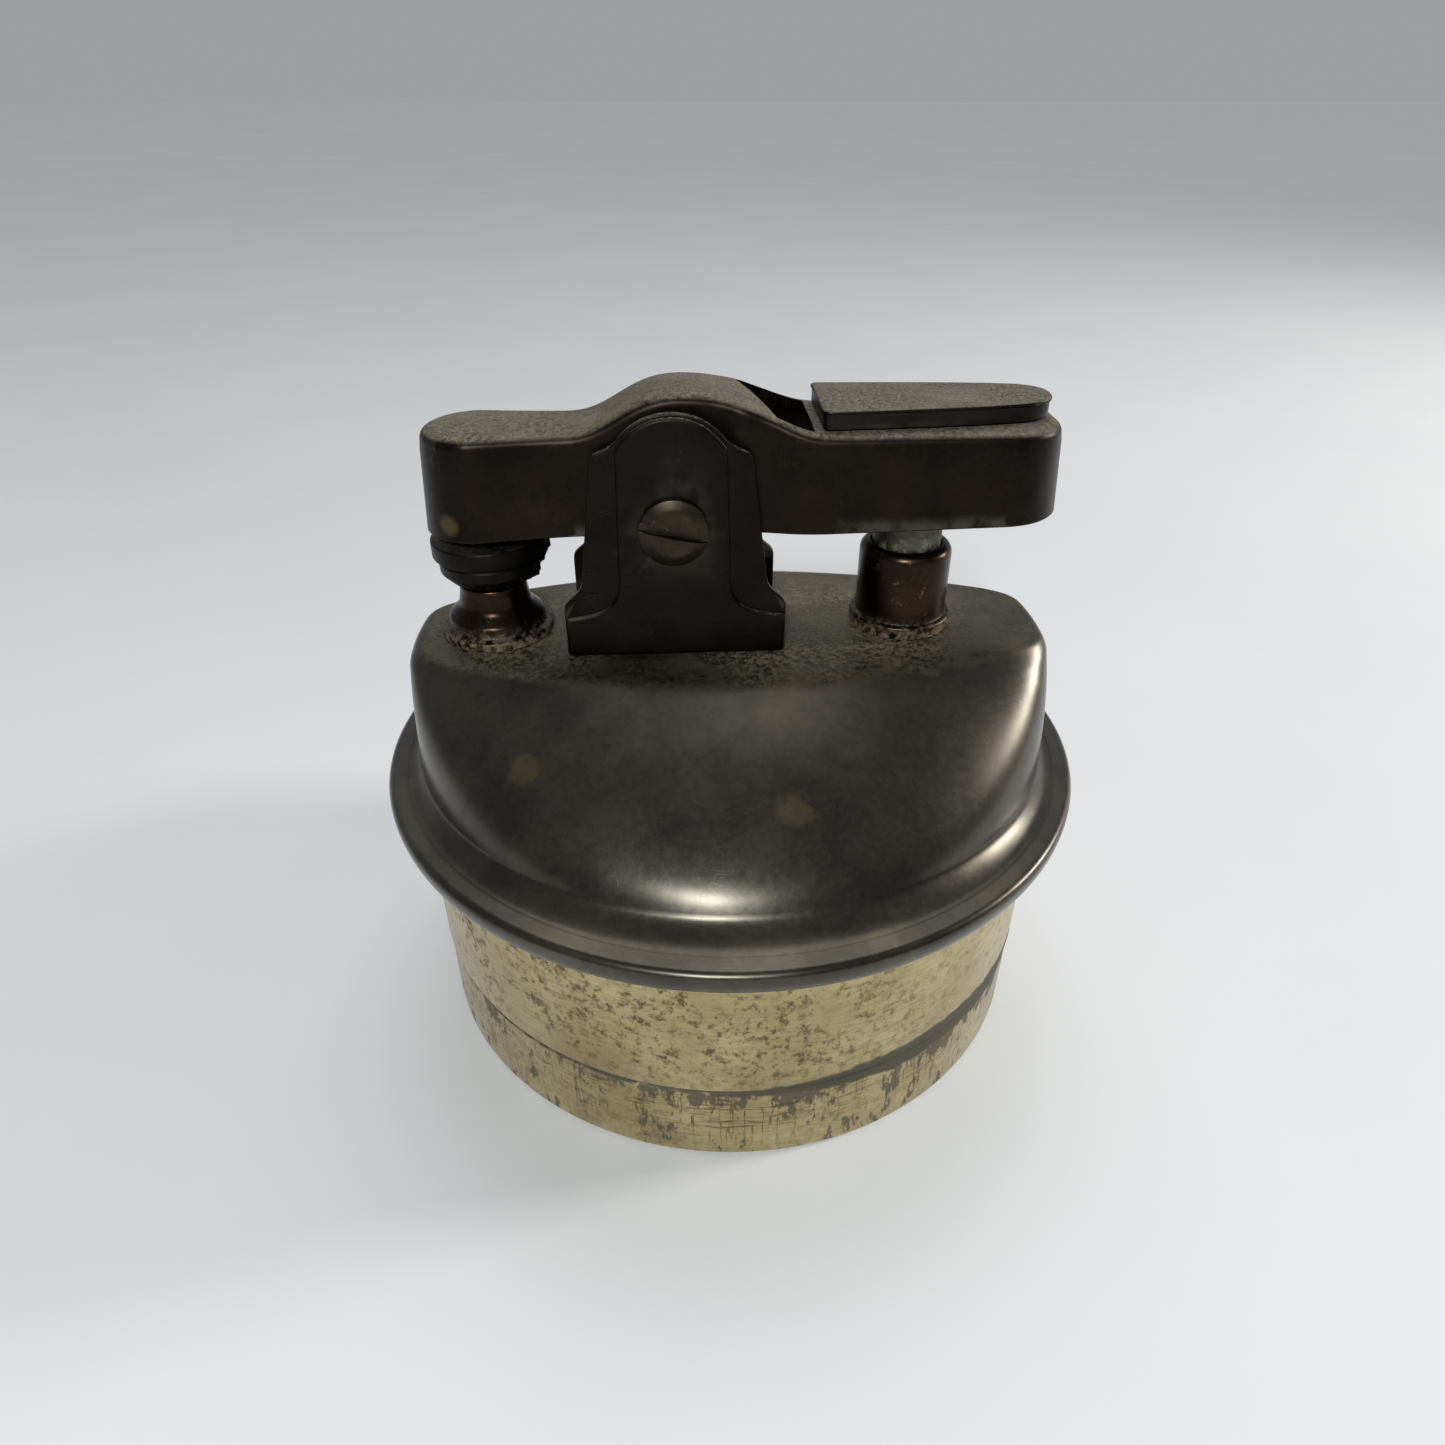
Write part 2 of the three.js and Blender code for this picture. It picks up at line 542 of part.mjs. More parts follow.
// ---------------------------------------------------------------- arm
// Plan: a round snuffer end, a waist between the bracket's plates and a wide thumb end.
// Its half widths are given for the outside; inset makes the hollow inside it.
function armPlan(inset) {
  const endR = 4.3;
  const waist = 3.65 - inset;
  const wide = 5.1 - inset;
  const left = ARM_LEFT_X + endR;
  const cornerR = 4.4 - inset;
  const right = ARM_RIGHT_X - inset;
  const shape = new THREE.Shape();
  shape.absarc(left, 0, endR - inset, Math.PI / 2, 1.5 * Math.PI);
  shape.lineTo(-11, -waist);
  shape.lineTo(-1.6, -waist);
  shape.bezierCurveTo(-0.3, -waist, -0.2, -waist - 0.5, 1.2, -waist - 0.55);
  shape.bezierCurveTo(3, -waist - 0.6, 3.8, -wide, 7, -wide);
  shape.lineTo(right - cornerR, -wide);
  shape.absarc(right - cornerR, -wide + cornerR, cornerR, -Math.PI / 2, 0);
  shape.absarc(right - cornerR, wide - cornerR, cornerR, 0, Math.PI / 2);
  shape.lineTo(7, wide);
  shape.bezierCurveTo(3.8, wide, 3, waist + 0.6, 1.2, waist + 0.55);
  shape.bezierCurveTo(-0.2, waist + 0.5, -0.3, waist, -1.6, waist);
  shape.lineTo(-11, waist);
  return shape;
}

// Side view: level top, a hump over the spark wheel that falls away more gently to the thumb end.
function armSide(inset, bottom) {
  const top = ARM_TOP_Z - inset;
  const hump = HUMP_TOP_Z - inset;
  const humpX = -3.6;
  const shape = new THREE.Shape();
  shape.moveTo(ARM_LEFT_X - BITE, ARM_BOTTOM_LEFT_Z - bottom);
  shape.lineTo(ARM_RIGHT_X + BITE, ARM_BOTTOM_RIGHT_Z - bottom);
  shape.lineTo(ARM_RIGHT_X + BITE, top + 0.05);
  shape.lineTo(6.6, top + 0.08);
  shape.bezierCurveTo(3.4, top + 0.1, 1.6, hump, humpX, hump);
  shape.bezierCurveTo(-7.4, hump, -8.4, top + 0.05, -11.6, top);
  shape.lineTo(ARM_LEFT_X - BITE, top - 0.05);
  return shape;
}

function armBlank(inset, bottom) {
  const plan = raised(armPlan(inset), ARM_BOTTOM_LEFT_Z - 5, HUMP_TOP_Z + BITE, 7);
  return plan.intersect(carriedAcross(armSide(inset, bottom), -8, 8, 9));
}

const PAD_LEFT_X = 6;
const PAWL_PIN_X = 3.9;
const PAWL_PIN_Z = 45.3;
const PAWL_PIN_R = 0.6;
const PAWL_PIN_REACH = 4.35;       // the pin ends inside the walls, so it doesn't show outside

// The opening behind the hump: its left edge runs slantwise across the arm.
function humpWindow() {
  const outline = new THREE.Shape();
  outline.moveTo(2.9, -3.5);
  outline.lineTo(PAD_LEFT_X - 0.5, -3.9);
  outline.lineTo(PAD_LEFT_X - 0.5, 3.9);
  outline.lineTo(0.2, 3.4);
  outline.quadraticCurveTo(1.7, 0.6, 2.9, -3.5);
  return raised(outline, PAWL_PIN_Z + 1.6, HUMP_TOP_Z + BITE);
}

function rockerArm() {
  const shell = cut(armBlank(0, 0), armBlank(SHEET, BITE));
  const axleHole = lyingAlongY(rod(RUNNING_R, -8, 8));
  const pinDepth = PAWL_PIN_REACH + 0.1;
  const pinHole = lyingAlongY(rod(PAWL_PIN_R + 0.05, -pinDepth, pinDepth, 0, 12), PAWL_PIN_X, PAWL_PIN_Z);
  return cut(shell, axleHole, humpWindow(), pinHole);
}

// A D in plan: straight across the arm at the left, narrowing to a round right end.
function padPlan(inset) {
  const shape = new THREE.Shape();
  const [half, endR] = [3.9 - inset, 2.85 - inset];
  const right = 22.7 - inset;
  shape.moveTo(PAD_LEFT_X + inset, -half + 0.6);
  shape.quadraticCurveTo(PAD_LEFT_X + inset, -half, PAD_LEFT_X + inset + 0.6, -half);
  shape.lineTo(right - endR, -endR);
  shape.absarc(right - endR, 0, endR, -Math.PI / 2, Math.PI / 2);
  shape.lineTo(PAD_LEFT_X + inset + 0.6, half);
  shape.quadraticCurveTo(PAD_LEFT_X + inset, half, PAD_LEFT_X + inset, half - 0.6);
  return shape;
}

function thumbPad() {
  const foot = ARM_TOP_Z + 0.2;
  const plate = PAD_TOP_Z - 0.3;
  return joined(raised(padPlan(0.12), foot, plate + 0.05), raised(padPlan(0), plate, PAD_TOP_Z));
}

// ---------------------------------------------------------------- pawl on the arm
const PAWL_NEAR = 1.35;
const PAWL_FAR = 2.25;

function pawl() {
  const outline = new THREE.Shape();
  outline.moveTo(0.35, 44.25);
  outline.absarc(PAWL_PIN_X, PAWL_PIN_Z, 1.2, -Math.PI / 2, Math.PI / 2);
  outline.lineTo(1.4, 45.7);
  const body = carriedAcross(outline, PAWL_NEAR, PAWL_FAR);
  return cut(body, lyingAlongY(rod(PAWL_PIN_R + 0.06, -8, 8, 0, 12), PAWL_PIN_X, PAWL_PIN_Z));
}

function pawlPin() {
  return lyingAlongY(rod(PAWL_PIN_R, -PAWL_PIN_REACH, PAWL_PIN_REACH, 0, 12), PAWL_PIN_X, PAWL_PIN_Z);
}

// A leaf under the roof of the thumb end, bent down towards the pawl's tail.
function pawlSpring() {
  const roof = ARM_TOP_Z - SHEET - 0.2;
  const outline = new THREE.Shape();
  outline.moveTo(10, roof);
  outline.lineTo(7.6, roof);
  outline.quadraticCurveTo(6.2, roof, 5.3, 43.2);
  outline.lineTo(5.5, 43.15);
  outline.quadraticCurveTo(6.5, roof - 0.25, 7.6, roof - 0.25);
  outline.lineTo(10, roof - 0.25);
  return carriedAcross(outline, PAWL_NEAR, PAWL_FAR);
}

// ---------------------------------------------------------------- plunger post
const WELL_BOTTOM_Z = 21.6;
const COLLAR_TOP_Z = 38.8;
const PLUNGER_R = 2.6;
const PLUNGER_LOW_Z = 31;
const PLUNGER_CROWN_Z = ARM_TOP_Z - SHEET - 0.15;

function plungerCollar() {
  const bore = PLUNGER_R + 0.08;
  return turned([
    [0, WELL_BOTTOM_Z], [WELL_R, WELL_BOTTOM_Z], [WELL_R, PLATEAU_Z + 0.1], [3.95, PLATEAU_Z + 0.1],
    [3.95, PLATEAU_Z + 0.8], [3.75, PLATEAU_Z + 1], [3.5, PLATEAU_Z + 1.3],
    [3.5, COLLAR_TOP_Z - 0.5], [3.1, COLLAR_TOP_Z], [bore, COLLAR_TOP_Z], [bore, WELL_BOTTOM_Z + 0.5],
    [0, WELL_BOTTOM_Z + 0.5],
  ], PLUNGER_X, 24);
}

function plungerRod() {
  const crownRise = 1.6;
  const crown = heights(10, 90, 4).map((degrees) => {
    const angle = THREE.MathUtils.degToRad(degrees);
    const height = PLUNGER_CROWN_Z - crownRise + crownRise * Math.sin(angle);
    return [degrees === 90 ? 0 : PLUNGER_R * Math.cos(angle), height];
  });
  const base = [[0, PLUNGER_LOW_Z], [PLUNGER_R, PLUNGER_LOW_Z], [PLUNGER_R, PLUNGER_CROWN_Z - crownRise]];
  return turned([...base, ...crown], PLUNGER_X, 24);
}

function returnSpring() {
  return coilSpring(2, 0.28, WELL_BOTTOM_Z + 0.55, PLUNGER_LOW_Z - 0.05, 5, PLUNGER_X);
}

// ---------------------------------------------------------------- the assembly
const METALS = {
  brass: { color: 0xb9a66c, roughness: 0.35, metalness: 1 },
  bronze: { color: 0x4a4238, roughness: 0.42, metalness: 0.9 },
  darkBronze: { color: 0x3a322b, roughness: 0.5, metalness: 0.85 },
  copper: { color: 0x6b4636, roughness: 0.38, metalness: 0.95 },
  dustySteel: { color: 0x77786a, roughness: 0.7, metalness: 0.6 },
  steel: { color: 0x8d8d8a, roughness: 0.4, metalness: 1 },
  cotton: { color: 0xd8cfba, roughness: 1, metalness: 0 },
  wickCotton: { color: 0x2d2823, roughness: 1, metalness: 0 },
  fibre: { color: 0x7a3b2c, roughness: 0.9, metalness: 0 },
  flintGrey: { color: 0x4d4c4a, roughness: 0.8, metalness: 0.4 },
};

const PIECES = [
  ['tank_cup', tankCup(), METALS.brass],
  ['tank_wadding', tankWadding(), METALS.cotton],
  ['filler_bush', fillerBush(), METALS.brass],
  ['filler_screw', fillerScrew(), METALS.brass],
  ['filler_washer', fillerWasher(), METALS.fibre],
  ['dome_shell', domeShell(), METALS.bronze],
  ['pivot_bracket', pivotBracket(), METALS.darkBronze],
  ['bracket_screw_left', bracketScrew(BRACKET_SCREW_X[0]), METALS.steel],
  ['bracket_screw_right', bracketScrew(BRACKET_SCREW_X[1]), METALS.steel],
  ['pivot_screw', pivotScrew(), METALS.bronze],
  ['axle_bush', axleBush(), METALS.brass],
  ['pivot_washer_front', pivotWasher(-1), METALS.steel],
  ['pivot_washer_rear', pivotWasher(1), METALS.steel],
  ['spark_wheel', sparkWheel(), METALS.steel],
  ['ratchet_wheel', ratchetWheel(), METALS.steel],
  ['flint_tube', flintTube(), METALS.brass],
  ['flint_tube_nut', flintTubeNut(), METALS.brass],
  ['flint', flint(), METALS.flintGrey],
  ['flint_follower', flintFollower(), METALS.brass],
  ['flint_spring', flintSpring(), METALS.steel],
  ['flint_screw', flintScrew(), METALS.brass],
  ['wick_tube', wickTube(), METALS.copper],
  ['wick', wick(), METALS.wickCotton],
  ['snuffer_cap', snufferCap(), METALS.darkBronze],
  ['snuffer_spring', snufferSpring(), METALS.steel],
  ['snuffer_holder', snufferHolder(), METALS.brass],
  ['rocker_arm', rockerArm(), METALS.bronze],
  ['thumb_pad', thumbPad(), METALS.bronze],
  ['pawl', pawl(), METALS.steel],
  ['pawl_pin', pawlPin(), METALS.steel],
  ['pawl_spring', pawlSpring(), METALS.steel],
  ['plunger_collar', plungerCollar(), METALS.copper],
  ['plunger_rod', plungerRod(), METALS.dustySteel],
  ['return_spring', returnSpring(), METALS.steel],
];

const lighter = new THREE.Group();
for (const [name, solid, look] of PIECES) {
  const piece = new THREE.Mesh(geometryOf(solid), new THREE.MeshStandardMaterial(look));
  piece.name = name;
  lighter.add(piece);
}

export default lighter;
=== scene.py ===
"""A press-action table lighter insert: looks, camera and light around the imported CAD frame.

Sizes are in millimetres and come from the frame's boxes. The pieces that show are built again with rounded
edges and fine curves; the pieces inside keep their CAD meshes and get materials.
"""

import json
import math

import bmesh
import bpy
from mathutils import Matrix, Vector, noise


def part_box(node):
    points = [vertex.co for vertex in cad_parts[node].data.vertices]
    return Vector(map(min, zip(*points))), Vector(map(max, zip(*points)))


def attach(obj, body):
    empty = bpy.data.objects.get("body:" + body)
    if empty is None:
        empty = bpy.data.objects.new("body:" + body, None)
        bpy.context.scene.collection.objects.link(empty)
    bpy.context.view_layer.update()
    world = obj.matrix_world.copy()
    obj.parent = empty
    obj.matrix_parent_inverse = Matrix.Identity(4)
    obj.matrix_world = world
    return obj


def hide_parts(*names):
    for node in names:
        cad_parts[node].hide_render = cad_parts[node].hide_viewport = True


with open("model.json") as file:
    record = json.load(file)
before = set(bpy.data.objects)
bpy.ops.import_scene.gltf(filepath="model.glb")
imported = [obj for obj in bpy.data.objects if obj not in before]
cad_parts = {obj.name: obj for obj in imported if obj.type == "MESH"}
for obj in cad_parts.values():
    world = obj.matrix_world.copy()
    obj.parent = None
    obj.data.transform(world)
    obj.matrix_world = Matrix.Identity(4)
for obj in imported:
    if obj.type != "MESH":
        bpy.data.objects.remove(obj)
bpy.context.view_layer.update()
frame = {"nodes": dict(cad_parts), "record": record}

# ---------------------------------------------------------------- sizes, from the frame
MM = 0.001


def box_mm(node):
    low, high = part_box(node)
    return low / MM, high / MM


def middle_x(node):
    low, high = box_mm(node)
    return (low.x + high.x) / 2


ARM_LOW, ARM_HIGH = box_mm("rocker_arm")
PAD_LOW, PAD_HIGH = box_mm("thumb_pad")
DOME_LOW, DOME_HIGH = box_mm("dome_shell")
CUP_HIGH = box_mm("tank_cup")[1]
BRACKET_LOW, BRACKET_HIGH = box_mm("pivot_bracket")
WICK_LOW, WICK_HIGH = box_mm("wick_tube")
CAP_LOW, CAP_HIGH = box_mm("snuffer_cap")
COLLAR_LOW, COLLAR_HIGH = box_mm("plunger_collar")
ROD_LOW, ROD_HIGH = box_mm("plunger_rod")
SCREW_LOW, SCREW_HIGH = box_mm("pivot_screw")
BUSH_LOW, BUSH_HIGH = box_mm("axle_bush")
PIN_LOW, PIN_HIGH = box_mm("pawl_pin")
TUBE_HIGH = box_mm("flint_tube")[1]

PIVOT_X = middle_x("pivot_bracket")
PIVOT_Z = (SCREW_LOW.z + SCREW_HIGH.z) / 2
WICK_X = middle_x("wick_tube")
PLUNGER_X = middle_x("plunger_rod")
FILLER_X = middle_x("filler_screw")
PIN_X = middle_x("pawl_pin")
PIN_Z = (PIN_LOW.z + PIN_HIGH.z) / 2
PLATEAU_Z = DOME_HIGH.z
FLANGE_R = DOME_HIGH.x
CUP_R = CUP_HIGH.x
TUBE_R = TUBE_HIGH.x - PIVOT_X
AXLE_R = 1.15
WICK_TAIL_R = 1.9                  # wick tube and plunger well where they go down through the dome
WELL_R = 3.1
CUP_SEAM_Z = 7.5                   # the dark line round the cup
SHEET = 0.6                        # thickness of the pressed covers and plates
FIT = 0.1                          # radial clearance of a hole
TURN = 2 * math.pi


# ---------------------------------------------------------------- outlines
def steps(low, high, count):
    """count + 1 evenly spaced values from low to high."""
    return [low + (high - low) * i / count for i in range(count + 1)]


class Path:
    """A fine polyline drawn with lines, arcs and bezier curves."""

    def __init__(self, x, y, step=0.3):
        self.points = [(x, y)]
        self.step = step

    def _sample(self, curve, length):
        count = max(1, math.ceil(length / self.step))
        self.points += [curve(i / count) for i in range(1, count + 1)]
        return self

    def line(self, x, y):
        x0, y0 = self.points[-1]
        return self._sample(lambda t: (x0 + (x - x0) * t, y0 + (y - y0) * t), math.hypot(x - x0, y - y0))

    def arc(self, x, y, radius, start, end):
        """An arc about (x, y), from one angle to another in degrees."""
        start, end = math.radians(start), math.radians(end)

        def point(t):
            angle = start + (end - start) * t
            return x + radius * math.cos(angle), y + radius * math.sin(angle)

        return self._sample(point, radius * abs(end - start))

    def bezier(self, *handles):
        """A quadratic or cubic curve from the last point: its handles, then its end."""
        points = [self.points[-1], *handles]
        order = len(points) - 1

        def point(t):
            shares = [math.comb(order, i) * (1 - t) ** (order - i) * t ** i for i in range(order + 1)]
            return tuple(sum(share * p[axis] for share, p in zip(shares, points)) for axis in (0, 1))

        return self._sample(point, sum(math.dist(a, b) for a, b in zip(points, points[1:])))


def filleted(corners, segments=6):
    """A closed outline of (x, y, radius) corners; a corner with a radius becomes an arc."""
    outline = []
    for i, (x, y, radius) in enumerate(corners):
        corner = Vector((x, y))
        if not radius:
            outline.append((x, y))
            continue
        before = (Vector(corners[i - 1][:2]) - corner).normalized()
        after = (Vector(corners[(i + 1) % len(corners)][:2]) - corner).normalized()
        half = before.angle(after) / 2
        centre = corner + (before + after).normalized() * radius / math.sin(half)
        start = corner + before * radius / math.tan(half) - centre
        end = corner + after * radius / math.tan(half) - centre
        sweep = math.atan2(start.cross(end), start.dot(end))
        for share in steps(0, 1, segments):
            turn = sweep * share
            across = Vector((start.x * math.cos(turn) - start.y * math.sin(turn),
                             start.x * math.sin(turn) + start.y * math.cos(turn)))
            outline.append(tuple(centre + across))
    return outline


# ---------------------------------------------------------------- meshes
def soften(mesh, sharp_degrees=35):
    """Smooth shading, with the edges that turn more than sharp_degrees kept sharp."""
    surface = bmesh.new()
    surface.from_mesh(mesh)
    bmesh.ops.recalc_face_normals(surface, faces=surface.faces)
    for face in surface.faces:
        face.smooth = True
    for edge in surface.edges:
        edge.smooth = len(edge.link_faces) == 2 and edge.calc_face_angle(0) < math.radians(sharp_degrees)
    surface.to_mesh(mesh)
    surface.free()


def new_object(name, points, faces, sharp_degrees=35):
    """An object in metres from points in millimetres."""
    mesh = bpy.data.meshes.new(name)
    mesh.from_pydata([Vector(point) * MM for point in points], [], faces)
    soften(mesh, sharp_degrees)
    made = bpy.data.objects.new(name, mesh)
    bpy.context.scene.collection.objects.link(made)
    return made


def rings_to_faces(ring_count, ring_size, closed=True):
    """Quads between neighbouring rings of ring_size points; closed joins the last ring to the first."""
    faces = []
    for ring in range(ring_count if closed else ring_count - 1):
        here, there = ring * ring_size, (ring + 1) % ring_count * ring_size
        for i in range(ring_size):
            j = (i + 1) % ring_size
            faces.append((here + i, here + j, there + j, there + i))
    return faces


def lathe(name, corners, x=0, segments=128, sharp_degrees=35):
    """A profile of (radius, height, fillet) corners turned about Z at x. It may start and end on the axis."""
    profile = filleted(corners)
    points, rows = [], []
    for radius, height in profile:
        if radius < 1e-6:
            rows.append([len(points)] * segments)
            points.append((x, 0, height))
            continue
        rows.append(range(len(points), len(points) + segments))
        for i in range(segments):
            angle = TURN * i / segments
            points.append((x + radius * math.cos(angle), radius * math.sin(angle), height))
    faces = []
    for here, there in zip(rows, [*rows[1:], rows[0]]):
        for i in range(segments):
            j = (i + 1) % segments
            corners_here = list(dict.fromkeys((here[i], here[j], there[j], there[i])))
            if len(corners_here) > 2:
                faces.append(corners_here)
    return new_object(name, points, faces, sharp_degrees)


def prism(name, outline, low, high, axis="z"):
    """A closed outline carried from low to high along z, or along y for an outline in x and z."""
    count = len(outline)
    if axis == "z":
        points = [(x, y, level) for level in (low, high) for x, y in outline]
    else:
        points = [(x, level, z) for level in (low, high) for x, z in outline]
    sides = [(i, (i + 1) % count, (i + 1) % count + count, i + count) for i in range(count)]
    return new_object(name, points, [tuple(range(count)), tuple(range(count, 2 * count)), *sides])


def cylinder(radius, low, high, x, z=None, segments=64):
    """A cutting cylinder: upright at x, or lying along Y through (x, z)."""
    outline = [(x + radius * math.cos(TURN * i / segments), (z or 0) + radius * math.sin(TURN * i / segments))
               for i in range(segments)]
    return prism("cutter", outline, low, high, "z" if z is None else "y")


def apply_modifiers(piece):
    bpy.context.view_layer.update()
    made = bpy.data.meshes.new_from_object(piece.evaluated_get(bpy.context.evaluated_depsgraph_get()))
    piece.modifiers.clear()
    piece.data = made


def combine(piece, others, operation="DIFFERENCE", sharp_degrees=35):
    """Cuts the others out of a piece, or joins them to it; they are used up.

    Faces that come from a cutter keep the cutter's material.
    """
    for other in others:
        step = piece.modifiers.new("combine", "BOOLEAN")
        step.operation = operation
        step.solver = "EXACT"
        step.material_mode = "TRANSFER"
        step.object = other
        apply_modifiers(piece)
        bpy.data.objects.remove(other)
    soften(piece.data, sharp_degrees)
    return piece


def bevelled(piece, width, segments=3, angle_degrees=30):
    step = piece.modifiers.new("bevel", "BEVEL")
    step.width = width * MM
    step.segments = segments
    step.limit_method = "ANGLE"
    step.angle_limit = math.radians(angle_degrees)
    step.harden_normals = False
    apply_modifiers(piece)
    soften(piece.data)
    return piece


def lay_along_y(piece, x, z):
    """Turns a piece made about Z so that its top points to the front, with its axis through (x, z)."""
    for vertex in piece.data.vertices:
        vertex.co = Vector((vertex.co.x + x * MM, -vertex.co.z, vertex.co.y + z * MM))
    piece.data.update()
    return piece


def finished(piece, body, node, material):
    """A piece that stands for a CAD node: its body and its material."""
    if material.name not in piece.data.materials:
        piece.data.materials.clear()
        piece.data.materials.append(material)
    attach(piece, body)
    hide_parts(node)
    return piece


# ---------------------------------------------------------------- material nodes
class Look:
    """A procedural metal: short calls that add nodes and hand back their outputs."""

    def __init__(self, name, metallic=1.0, roughness=0.4):
        self.material = bpy.data.materials.new(name)
        self.material.use_nodes = True
        self.tree = self.material.node_tree
        self.shader = self.tree.nodes["Principled BSDF"]
        self.shader.inputs["Metallic"].default_value = metallic
        self.shader.inputs["Roughness"].default_value = roughness
        coordinates = self.tree.nodes.new("ShaderNodeTexCoord")
        self.place = coordinates.outputs["Object"]
        self.normal = coordinates.outputs["Normal"]

    def add(self, kind, output=0, settings=None, **inputs):
        node = self.tree.nodes.new(kind)
        for name, value in (settings or {}).items():
            setattr(node, name, value)
        for name, value in inputs.items():
            socket = node.inputs[int(name[1:])] if name[0] == "_" else node.inputs[name.replace("_", " ")]
            if isinstance(value, bpy.types.NodeSocket):
                self.tree.links.new(value, socket)
            else:
                socket.default_value = value
        return node.outputs[output]

    def set(self, name, value):
        self.tree.links.new(value, self.shader.inputs[name])

    def math(self, operation, a, b=0.0, clamp=False):
        return self.add("ShaderNodeMath", settings={"operation": operation, "use_clamp": clamp}, _0=a, _1=b)

    def times(self, a, b, clamp=False):
        return self.math("MULTIPLY", a, b, clamp)

    def plus(self, a, b):
        return self.math("ADD", a, b)

    def less(self, a, b):
        return self.math("SUBTRACT", a, b)

    def larger(self, a, b, clamp=False):
        return self.math("MAXIMUM", a, b, clamp)

    def noise(self, size, detail=5, rough=0.6, stretch=(1, 1, 1), shift=(0, 0, 0), distortion=0.0):
        """Noise whose features are about size millimetres across."""
        scale = tuple(s / (size * MM) for s in stretch)
        place = self.add("ShaderNodeMapping", Vector=self.place, Scale=scale, Location=shift)
        return self.add("ShaderNodeTexNoise", Vector=place, Scale=1.0, Detail=detail, Roughness=rough,
                        Distortion=distortion)

    def between(self, value, low, high, start=0.0, end=1.0):
        """start where value is below low, rising to end where it is above high."""
        return self.add("ShaderNodeMapRange", settings={"interpolation_type": "SMOOTHSTEP"}, Value=value,
                        From_Min=low, From_Max=high, To_Min=start, To_Max=end)

    def mix(self, share, a, b):
        """A colour: a where share is 0, b where it is 1."""
        colours = [c if isinstance(c, bpy.types.NodeSocket) else (*c, 1) for c in (a, b)]
        return self.add("ShaderNodeMix", 2, {"data_type": "RGBA"}, _0=share, _6=colours[0], _7=colours[1])

    def blend(self, share, a, b):
        return self.add("ShaderNodeMix", settings={"data_type": "FLOAT"}, _0=share, _2=a, _3=b)

    def axis(self, name):
        return self.add("ShaderNodeSeparateXYZ", name, Vector=self.place)

    def facing_up(self):
        return self.add("ShaderNodeSeparateXYZ", "Z", Vector=self.normal)

    def near(self, x, y, z, radius, ragged=0.5):
        """1 round a point in millimetres, fading to 0 at about radius, with a ragged edge."""
        away = self.add("ShaderNodeVectorMath", 1, {"operation": "DISTANCE"}, _0=self.place,
                        _1=(x * MM, y * MM, z * MM))
        uneven = self.times(self.noise(radius * 0.6), ragged * radius * MM)
        return self.between(self.plus(away, uneven), radius * MM * (0.5 + ragged / 2),
                            radius * MM * (1.2 + ragged / 2), 1.0, 0.0)

    def edges(self, low=0.52, high=0.58):
        """1 on outward edges and corners."""
        return self.between(self.add("ShaderNodeNewGeometry", "Pointiness"), low, high)

    def bump(self, height, strength, distance):
        return self.add("ShaderNodeBump", Strength=strength, Distance=distance * MM, Height=height)

    def scratches(self, size, stretch, shift=(0, 0, 0), share=0.06):
        """Thin lines along the axis with the smallest stretch: 1 on a scratch."""
        lines = self.noise(size, detail=3, rough=0.5, stretch=stretch, shift=shift)
        off = self.math("ABSOLUTE", self.less(lines, 0.5))
        return self.between(off, 0.0, share * 0.1, 1.0, 0.0)


def patina(name, dark, light, worn, roughness, dust=0.0, edge=(0.52, 0.6), scratched=0.5):
    """Old bronze: mottled tones, worn edges, fine scratches and dust where it faces up. Returns its Look."""
    look = Look(name, 0.95, roughness)
    clouds = look.noise(5)
    grain = look.noise(0.5, detail=6, rough=0.7)
    tone = look.between(look.plus(look.times(clouds, 0.7), look.times(grain, 0.3)),
                        0.35, 0.65)
    colour = look.mix(tone, dark, light)
    scratch = look.larger(look.scratches(1.2, (0.1, 1, 1), share=0.05),
                        look.scratches(1.5, (1, 1, 0.12), (7, 3, 1), share=0.04))
    scratch = look.times(scratch, look.between(look.noise(3, shift=(5, 5, 5)), 0.5, 0.7))
    wear = look.times(look.edges(*edge), look.between(look.noise(1.6, shift=(3, 1, 4)), 0.3, 0.62))
    wear = look.larger(wear, look.times(scratch, scratched), clamp=True)
    look.colour = look.mix(wear, colour, worn)
    look.rough = look.plus(look.times(grain, 0.16), roughness - 0.08)
    look.rough = look.less(look.rough, look.times(wear, 0.1))
    look.height = look.less(look.times(grain, 0.35), look.times(scratch, 0.6 * scratched))
    look.dirt = None
    if dust:
        up = look.between(look.facing_up(), 0.55, 0.95)
        powder = look.noise(0.35, detail=8, rough=0.75, shift=(2, 9, 4))
        powder = look.between(powder, 0.62 - dust * 0.3, 0.78 - dust * 0.2)
        film = look.times(look.between(look.noise(4, shift=(8, 2, 6)), 0.25, 0.7), dust)
        add_dust(look, look.times(up, look.larger(powder, film), clamp=True), DUST)
    return look


DUST = (0.17, 0.145, 0.10)


def add_dust(look, share, colour):
    """Lays a dull powder over the look where share is above 0."""
    speck = look.noise(0.18, detail=4, rough=0.8, shift=(1, 2, 3))
    dim, bright = [tuple(c * factor for c in colour) for factor in (0.6, 1.35)]
    powder = look.mix(look.between(speck, 0.35, 0.65), dim, bright)
    look.colour = look.mix(share, look.colour, powder)
    look.rough = look.blend(share, look.rough, 0.9)
    look.height = look.plus(look.height, look.times(share, look.times(speck, 2.0)))
    look.dirt = share if look.dirt is None else look.larger(look.dirt, share)


